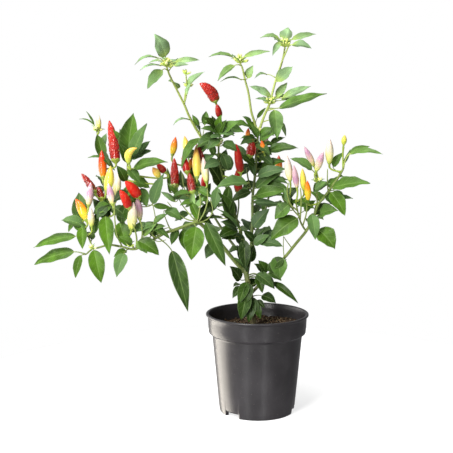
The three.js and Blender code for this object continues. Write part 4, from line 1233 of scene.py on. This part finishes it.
# ---- Materials ----
def fill(tree, socket, value):
    """Joins the socket to value where it's another node's socket, and sets it to value otherwise."""
    if isinstance(value, bpy.types.NodeSocket):
        tree.links.new(value, socket)
    elif isinstance(value, tuple) and len(value) == 3 and socket.type == "RGBA":
        socket.default_value = (*value, 1)
    else:
        socket.default_value = value


def add_node(tree, kind, inputs=(), **settings):
    """inputs holds the values of the first inputs, or is a dictionary of them by name or number."""
    node = tree.nodes.new("ShaderNode" + kind)
    for label, value in settings.items():
        setattr(node, label, value)
    for label, value in inputs.items() if isinstance(inputs, dict) else enumerate(inputs):
        fill(tree, node.inputs[label], value)
    return node


class Graph:
    """A material's nodes, with its principled shader made and joined up."""

    def __init__(self, name):
        self.material = bpy.data.materials.new(name)
        self.material.use_nodes = True
        self.tree = self.material.node_tree
        self.tree.nodes.clear()
        self.shader = self.add("BsdfPrincipled")
        self.add("OutputMaterial", {"Surface": self.shader.outputs["BSDF"]})

    def add(self, kind, inputs=(), **settings):
        return add_node(self.tree, kind, inputs, **settings)

    def finished(self, **values):
        """The material, once its shader has these values."""
        for label, value in values.items():
            fill(self.tree, self.shader.inputs[label.replace("_", " ")], value)
        return self.material

    def math(self, operation, a, b=0.0):
        return self.add("Math", (a, b), operation=operation).outputs[0]

    def times(self, a, b):
        return self.math("MULTIPLY", a, b)

    def less(self, a, b):
        return self.math("SUBTRACT", a, b)

    def span(self, value, low, high, to_low=0.0, to_high=1.0):
        """value moved smoothly from the range low..high to the range to_low..to_high."""
        return self.add("MapRange", (value, low, high, to_low, to_high), interpolation_type="SMOOTHSTEP").outputs[0]

    def mix(self, share, a, b, blend="MIX"):
        return self.add("Mix", {"Factor": share, 6: a, 7: b}, data_type="RGBA", blend_type=blend).outputs[2]

    def ramp(self, value, *stops):
        node = self.add("ValToRGB", (value,))
        node.color_ramp.interpolation = "EASE"
        while len(node.color_ramp.elements) < len(stops):
            node.color_ramp.elements.new(1)
        for element, (position, colour) in zip(node.color_ramp.elements, stops):
            element.position = position
            element.color = (*colour, 1)
        return node.outputs[0]

    def shades(self, value, low, middle, high):
        return self.ramp(value, (0, low), (0.5, middle), (1, high))

    def noise(self, scale, detail=3.0, stretch=None):
        """Noise over the piece. stretch scales the position along x, y and z first."""
        position = self.add("TexCoord").outputs["Object"]
        if stretch:
            position = self.add("Mapping", {"Vector": position, "Scale": stretch}).outputs[0]
        return self.add("TexNoise", {"Scale": scale, "Detail": detail, "Vector": position}).outputs["Fac"]

    def values(self, label):
        """The three numbers that the mesh carries under this label."""
        node = self.add("Attribute", attribute_name=label)
        return self.add("SeparateXYZ", (node.outputs["Vector"],)).outputs

    def bump(self, height, distance, strength=1.0, after=None):
        under = {"Normal": after} if after else {}
        return self.add("Bump", {"Strength": strength, "Distance": distance, "Height": height, **under}).outputs[0]


def soft(weight, radius, scale=0.0015):
    """The shader's values for light that goes a little way under the surface."""
    return {"Subsurface_Weight": weight, "Subsurface_Radius": radius, "Subsurface_Scale": scale}


DARK_LEAF = (0.012, 0.030, 0.003)
MID_LEAF = (0.071, 0.160, 0.011)
PALE_LEAF = (0.32, 0.50, 0.24)


def leaf_material():
    g = Graph("leaf")
    along, aside, under = g.values("lay")
    shade, chance, painted_sheen = g.values("tint")
    span = g.math("ABSOLUTE", aside)
    colour = g.shades(shade, DARK_LEAF, MID_LEAF, PALE_LEAF)
    # Mottled all over, yellower on some leaves and with a painted grey-green sheen on others, and yellow at the
    # foot of the young ones.
    patches = g.span(g.noise(85, 4), 0.35, 0.65, 0.84, 1.2)
    colour = g.mix(1, colour, g.ramp(g.times(patches, 0.5), (0, (0, 0, 0)), (1, (2, 2, 2))), "MULTIPLY")
    fresh = g.shades(shade, (0.05, 0.12, 0.008), (0.10, 0.22, 0.015), (0.33, 0.48, 0.13))
    colour = g.mix(g.span(chance, 0.2, 1, 0, 0.45), colour, fresh)
    # The painted grey-green sheen, as strong as the mesh's painted_sheen value.
    colour = g.mix(g.times(painted_sheen, 0.6), colour, (0.15, 0.26, 0.12))
    young = g.times(g.span(along, 0.0, 0.4, 0.6, 0), g.span(shade, 0.55, 0.9))
    colour = g.mix(young, colour, (0.42, 0.56, 0.07))
    # Painted shade on one side of the fold, and a painted grey-green sheen along the margin.
    painted_fold_shade = g.times(aside, g.less(chance, 0.5))
    colour = g.mix(g.span(painted_fold_shade, 0.0, 0.35, 0, 0.6), colour, DARK_LEAF)
    colour = g.mix(g.span(span, 0.82, 1, 0, 0.35), colour, (0.20, 0.30, 0.12))
    # The side veins curve away from the midrib.
    arc = g.times(g.math("POWER", span, 0.8), VEIN_SLANT)
    phase = g.math("FRACT", g.less(g.times(along, SIDE_VEINS), arc))
    ribs = g.span(g.math("ABSOLUTE", g.less(phase, 0.5)), 0.0, 0.07, 1, 0)
    ribs = g.times(ribs, g.span(span, 0.75, 1, 0.75, 0))
    midrib = g.span(span, 0.03, 0.10, 1, 0)
    veins = g.math("MAXIMUM", ribs, midrib)
    vein_colour = g.mix(0.4, colour, (0.32, 0.45, 0.15))
    colour = g.mix(g.times(veins, 0.55), colour, vein_colour)
    colour = g.mix(g.times(under, 0.5), colour, (0.17, 0.27, 0.09))
    height = g.math("ADD", g.times(veins, -0.6), g.times(g.noise(620, 2), 0.03))
    return g.finished(
        Base_Color=colour, Roughness=g.span(g.noise(140, 2), 0.3, 0.7, 0.38, 0.52),
        Normal=g.bump(height, 0.0002, 0.4), Specular_IOR_Level=0.18,
    )


def stem_material():
    g = Graph("stem")
    shade, _, wood = g.values("tint")
    colour = g.shades(shade, (0.055, 0.085, 0.016), (0.16, 0.22, 0.045), (0.54, 0.64, 0.17))
    streaks = g.noise(1, 3, (900, 900, 90))
    colour = g.mix(g.span(streaks, 0.45, 0.75, 0, 0.3), colour, g.mix(0.5, colour, (0.66, 0.68, 0.22)))
    bark = g.ramp(g.noise(1, 4, (420, 420, 110)), (0.3, (0.10, 0.075, 0.04)), (0.7, (0.30, 0.25, 0.13)))
    colour = g.mix(g.times(wood, 0.85), colour, bark)
    return g.finished(
        Base_Color=colour, Roughness=0.5, Normal=g.bump(streaks, 0.0001, 0.3), **soft(0.08, (0.6, 1.0, 0.3))
    )


def calyx_material():
    g = Graph("calyx")
    along, _, _ = g.values("lay")
    shade, _, _ = g.values("tint")
    colour = g.shades(shade, (0.16, 0.26, 0.03), (0.30, 0.40, 0.05), (0.50, 0.60, 0.10))
    colour = g.mix(g.span(along, 0.6, 1, 0, 0.35), colour, (0.50, 0.60, 0.14))
    lines = g.noise(1, 2, (700, 700, 120))
    colour = g.mix(g.span(lines, 0.45, 0.8, 0, 0.3), colour, (0.10, 0.22, 0.04))
    return g.finished(
        Base_Color=colour, Roughness=0.42, Normal=g.bump(lines, 0.0004, 0.4), **soft(0.1, (0.8, 1.0, 0.3))
    )


def bud_material():
    g = Graph("bud")
    along, _, _ = g.values("lay")
    _, chance, _ = g.values("tint")
    tips = g.mix(chance, (0.82, 0.90, 0.20), (0.92, 0.93, 0.50))
    return g.finished(
        Base_Color=g.mix(g.span(along, 0.2, 0.7), (0.50, 0.70, 0.08), tips), Roughness=0.45,
        Normal=g.bump(g.noise(900, 2), 0.0003, 0.3), **soft(0.15, (1.0, 1.0, 0.5)),
    )


# Colours along each kind of fruit, from its calyx to its tip.
FRUIT_SHADES = {
    "red": ((0, (0.36, 0.05, 0.010)), (0.1, (0.44, 0.008, 0.004)), (1, (0.70, 0.020, 0.008))),
    "dark_red": ((0, (0.20, 0.045, 0.010)), (0.15, (0.27, 0.005, 0.004)), (1, (0.44, 0.010, 0.006))),
    "orange": (
        (0, (0.82, 0.56, 0.03)), (0.35, (0.86, 0.27, 0.012)), (0.7, (0.78, 0.10, 0.006)), (1, (0.60, 0.03, 0.004)),
    ),
    "yellow": (
        (0, (0.56, 0.62, 0.07)), (0.25, (0.84, 0.74, 0.09)), (0.75, (0.88, 0.62, 0.12)), (1, (0.86, 0.42, 0.08)),
    ),
    "cream": (
        (0, (0.62, 0.66, 0.12)), (0.25, (0.80, 0.76, 0.30)), (0.6, (0.86, 0.76, 0.54)), (1, (0.82, 0.64, 0.58)),
    ),
    "mauve": (
        (0, (0.66, 0.68, 0.20)), (0.3, (0.78, 0.62, 0.42)), (0.65, (0.58, 0.34, 0.44)), (1, (0.70, 0.46, 0.50)),
    ),
}


def fruit_material(colour_name):
    g = Graph("pepper_" + colour_name)
    along, _, _ = g.values("lay")
    _, chance, wrinkled = g.values("tint")
    # The colours along the fruit are shifted by how ripe it is, and unevenly round it.
    cloud = g.noise(75, 3)
    shift = g.times(g.less(cloud, 0.5), 0.45)
    shift = g.math("ADD", shift, g.times(g.less(chance, 0.5), 0.7))
    colour = g.ramp(g.math("ADD", along, shift), *FRUIT_SHADES[colour_name])
    colour = g.mix(g.times(wrinkled, 0.12), colour, (0.16, 0.002, 0.002))
    streaks = g.noise(1, 2, (520, 520, 60))
    if colour_name in ("cream", "mauve"):
        blush = g.times(g.span(streaks, 0.42, 0.68), g.span(along, 0.15, 0.6, 0.1, 0.75))
        blush = g.times(blush, 0.8 if colour_name == "mauve" else 0.3)
        colour = g.mix(blush, colour, (0.42, 0.17, 0.32))
    else:
        colour = g.mix(g.span(streaks, 0.5, 0.8, 0, 0.25), colour, g.mix(0.5, colour, (1, 0.55, 0.25)))
    # Fine creases between the real folds of the wrinkled ones, bumped into the surface, with painted pinkish glints
    # on the ridges between them.
    creases_and_glints = g.noise(1, 3, (300, 300, 520))
    creases_and_glints = g.math("ABSOLUTE", g.less(creases_and_glints, 0.5))
    creases_and_glints = g.times(g.math("MINIMUM", creases_and_glints, 0.12), wrinkled)
    # Painted glints: the ridges between the creases are lighter, pinkish red.
    colour = g.mix(g.span(creases_and_glints, 0.05, 0.12, 0, 0.28), colour, (0.80, 0.08, 0.05))
    return g.finished(
        Base_Color=colour, Roughness=0.3, Specular_IOR_Level=0.28,
        Normal=g.bump(creases_and_glints, 0.005, 1.0, g.bump(g.noise(500, 2), 0.0002, 0.25)),
        Coat_Weight=g.span(wrinkled, 0, 1, 0.35, 0.7), Coat_Roughness=0.08, **soft(0.1, (1.0, 0.4, 0.2), 0.002),
    )


def pot_material():
    g = Graph("pot_plastic")
    colour = g.mix(g.span(g.noise(34, 4), 0.35, 0.7), (0.0235, 0.0215, 0.0235), (0.035, 0.032, 0.035))
    dust = g.times(g.span(g.noise(760, 2), 0.69, 0.78), 0.3)
    colour = g.mix(dust, colour, (0.30, 0.27, 0.24))
    scuffs = g.noise(1, 3, (60, 60, 1300))
    return g.finished(
        Base_Color=colour, Roughness=g.span(scuffs, 0.3, 0.75, 0.28, 0.36), Specular_IOR_Level=0.4,
        Normal=g.bump(g.noise(1400, 3), 0.00012, 0.35, g.bump(scuffs, 0.0003, 0.12)),
    )


def soil_material(name, dark, light, scale):
    g = Graph(name)
    _, chance, _ = g.values("tint")
    grain = g.noise(scale, 5)
    colour = g.ramp(g.math("ADD", grain, g.times(chance, 0.2)), (0.35, dark), (0.75, light))
    return g.finished(
        Base_Color=colour, Roughness=0.92, Normal=g.bump(grain, 0.0012, 0.8), Specular_IOR_Level=0.2
    )


# ---- The plant, put together ----
SHADE_VALUES = {"dark": 0.12, "mid": 0.45, "pale": 0.9}
STEM_PALEST = 0.84
TWIG_SHADE = 0.62
CENTRE_X, OUTSIDE = -25, 95  # the middle of the foliage, and how far out the outside is
LOW_Z, FOOT_Z, HIGH_Z = 130, 215, 400  # the lowest leaves, the foot of the foliage, and the young tops
# How the shade of a leaf is made up, from 0 for dark to 1 for pale. OWN is that of its branch.
OWN_WEIGHT, HEIGHT_WEIGHT, OUTSIDE_WEIGHT = 0.62, 0.26, 0.11
SHADE_SPREAD = (-0.11, 0.13)
LONG_DARKER, SHORT_LEAF, LONG_LEAF = 0.56, 26, 50
TILT_PAINTED_LIGHT, UPRIGHT_DARKER, LOW_DARK_AND_SHADE = 0.26, 0.5, 0.35
TOP_PALER, TOP_Z = 0.3, (300, 345)
STEM_PALER, STALK_PALER, BUD_SHADE = 0.1, 0.15, 0.75


def shade_of(branch, leaf, draw):
    """A leaf is paler when young, high up or at the outside, and darker low down in the middle, partly its own
    darker green and partly painted shade under the canopy. A young one is darker when it is long, and has painted
    shade when it hangs down and painted light when it stands up. An older one is darker when it stands upright, and
    paler above TOP_Z."""
    point = middle_point(leaf, 0.5)
    height = smoothstep(LOW_Z, HIGH_Z, point.z)
    outside = smoothstep(0, OUTSIDE, abs(point.x - CENTRE_X))
    own = SHADE_VALUES[branch["shade"]]
    value = OWN_WEIGHT * own + HEIGHT_WEIGHT * height + OUTSIDE_WEIGHT * outside + draw.uniform(*SHADE_SPREAD)
    value -= LONG_DARKER * own ** 3 * smoothstep(SHORT_LEAF, LONG_LEAF, leaf["length"])
    # Painted light on young leaves that stand up, and painted shade on those that hang down.
    value += TILT_PAINTED_LIGHT * own ** 3 * leaf["axis"].z
    value -= UPRIGHT_DARKER * (1 - own) * max(0, leaf["axis"].z)
    # Darker low down in the middle: partly the lower leaves' own darker green, partly painted shade under the
    # canopy.
    value -= LOW_DARK_AND_SHADE * (1 - outside) * (1 - smoothstep(LOW_Z, FOOT_Z, point.z))
    value += TOP_PALER * (1 - own) ** 2 * smoothstep(*TOP_Z, point.z)
    return min(1, max(0, value))


def make_branch(name, materials):
    """A branch in one piece, with its leaves, its fruits' stalks and its buds."""
    branch = BRANCHES[name]
    skin = Skin()
    draw = random.Random(name)
    own = SHADE_VALUES[branch["shade"]]
    stems = read_stems(name, branch["stems"], BRANCH_SLIMNESS[branch["shade"]] if branch["parent"] else 1)
    for stem in stems:
        add_stem(skin, stem, min(STEM_PALEST, own + STEM_PALER), draw.random())
    for stem in read_stems(name, branch["twigs"]):
        add_stem(skin, stem, max(TWIG_SHADE, min(STEM_PALEST, own)), draw.random())
    for spec in branch["leaves"]:
        leaf = leaf_frame(name, spec[:LEAF_NUMBERS])
        if len(spec) > LEAF_NUMBERS:
            shade, painted_sheen = spec[LEAF_NUMBERS:]
            chance = draw.random()
        else:
            shade, chance = shade_of(branch, leaf, draw), draw.random()
            # A painted grey-green sheen on some leaves, fading out towards the lowest ones.
            painted_sheen = draw.random() ** 3 * smoothstep(LOW_Z, FOOT_Z, leaf["base"].z)
        add_leaf(skin, stems, leaf, shade, chance, painted_sheen)
    for spec in branch["fruits"]:
        add_stalk(skin, stems, fruit_frame(name, spec), min(1, own + STALK_PALER), draw.random())
    for spray in branch["buds"]:
        add_buds(skin, name, spray, max(BUD_SHADE, own), draw.random())
    return skin.build(name + "_grown", materials, "foliage_" + branch["shade"], name)


pot_piece = make_pot(pot_material())
make_soil(soil_material("compost", (0.020, 0.011, 0.006), (0.095, 0.058, 0.032), 420))
make_crumbs([
    soil_material("crumbs", (0.022, 0.012, 0.007), (0.14, 0.085, 0.045), 700),
    soil_material("grit", (0.30, 0.25, 0.18), (0.62, 0.56, 0.46), 900),
    soil_material("rootlets", (0.16, 0.11, 0.06), (0.42, 0.32, 0.20), 600),
])

green = [stem_material(), leaf_material(), calyx_material(), bud_material()]
skins = {colour: fruit_material(colour) for colour in FRUIT_SHADES}
number = 0
for branch_name, branch in BRANCHES.items():
    make_branch(branch_name, green)
    for spec in branch["fruits"]:
        number += 1
        label = f"pepper_{number:02d}_{spec[0]}"
        fruit_skin = Skin()
        add_fruit(fruit_skin, fruit_frame(branch_name, spec), number)
        fruit_skin.build(label + "_fruit", [skins[spec[0]]], "pepper_" + spec[0], label)

# ---- Floor, light and camera ----
FLOOR_RADIUS = 0.42
FLOOR_SIDES = 96
floor_mesh = bpy.data.meshes.new("floor")
floor_mesh.from_pydata([(x, y, 0) for x, y in circle(FLOOR_RADIUS, FLOOR_SIDES)], [], [tuple(range(FLOOR_SIDES))])
floor = bpy.data.objects.new("floor", floor_mesh)
bpy.context.scene.collection.objects.link(floor)
floor_mesh.materials.append(Graph("floor_white").finished(
    Base_Color=(0.55, 0.55, 0.55), Roughness=0.9, Specular_IOR_Level=0.0,
    Emission_Color=(1, 1, 1), Emission_Strength=0.7,
))
floor.visible_glossy = False

pot_alone = bpy.data.collections.new("pot_alone")
pot_alone.objects.link(pot_piece)


def add_light(name, location, size, power, colour, aim=(-0.03, 0, 0.22), only=None):
    """An area light at location that faces aim. Given a collection in only, it shines on that alone, and
    nothing else is in its way."""
    data = bpy.data.lights.new(name, "AREA")
    data.shape = "RECTANGLE"
    data.size, data.size_y = size
    data.energy = power
    data.color = colour
    light = bpy.data.objects.new(name, data)
    light.location = location
    light.rotation_euler = (Vector(aim) - Vector(location)).to_track_quat("-Z", "Y").to_euler()
    light.visible_camera = False
    bpy.context.scene.collection.objects.link(light)
    if only:
        light.light_linking.receiver_collection = only
        light.light_linking.blocker_collection = only


add_light("key", (-0.9, -1.5, 0.85), (0.45, 1.4), 38, (1.0, 0.985, 0.96))
add_light("fill", (0.5, -1.5, 0.6), (0.15, 1.2), 2, (0.97, 0.985, 1.0))
add_light("edge", (-0.9, 0.33, 0.25), (1.1, 0.5), 4.5, (1.0, 0.97, 0.92), aim=(0, 0, 0.1))

# The gloss on the pot: a broad cream one down its left side, and two faint ones down its front. These lights
# stand below the floor's level, which doesn't block them.
POT_MIDDLE = (0, 0, 0.06)
add_light("pot_edge", (-0.82, 0.38, -0.42), (0.8, 0.7), 13, (1.0, 0.93, 0.82), POT_MIDDLE, pot_alone)
add_light("pot_gleam_left", (-0.57, -0.94, -0.5), (0.1, 0.7), 1.1, (1, 1, 1), POT_MIDDLE, pot_alone)
add_light("pot_gleam_right", (0.34, -1.05, -0.5), (0.1, 0.7), 1.0, (1, 1, 1), POT_MIDDLE, pot_alone)

sun_data = bpy.data.lights.new("overhead", "SUN")
sun_data.energy = 2.2
sun_data.angle = math.radians(25)
sun = bpy.data.objects.new("overhead", sun_data)
sun.rotation_euler = (math.radians(14), math.radians(-16), 0)
bpy.context.scene.collection.objects.link(sun)

# The studio is white to the camera. To everything else it is dim, brighter on the left than on the right.
world = bpy.data.worlds.new("studio")
world.use_nodes = True
tree = world.node_tree
generated = add_node(tree, "TexCoord").outputs["Generated"]
from_left = add_node(tree, "SeparateXYZ", (generated,)).outputs["X"]
brightness = add_node(tree, "MapRange", (from_left, -0.9, 0.8, 0.56, 0.16)).outputs[0]
room = tree.nodes["Background"]
fill(tree, room.inputs["Color"], (0.97, 0.985, 1))
fill(tree, room.inputs["Strength"], brightness)
backdrop = add_node(tree, "Background", ((1, 1, 1),))
to_camera = add_node(tree, "LightPath").outputs["Is Camera Ray"]
choose = add_node(tree, "MixShader", (to_camera, room.outputs[0], backdrop.outputs[0]))
fill(tree, tree.nodes["World Output"].inputs["Surface"], choose.outputs[0])
bpy.context.scene.world = world
bpy.context.scene.view_settings.view_transform = "Standard"

camera_data = bpy.data.cameras.new("camera")
camera_data.lens = FOCAL_LENGTH
camera_data.sensor_width = 36
camera = bpy.data.objects.new("camera", camera_data)
camera.location = EYE * MM
aim = Vector((EYE.x, 0, AIM_Z)) * MM
camera.rotation_euler = (aim - camera.location).to_track_quat("-Z", "Y").to_euler()
bpy.context.scene.collection.objects.link(camera)
bpy.context.scene.camera = camera
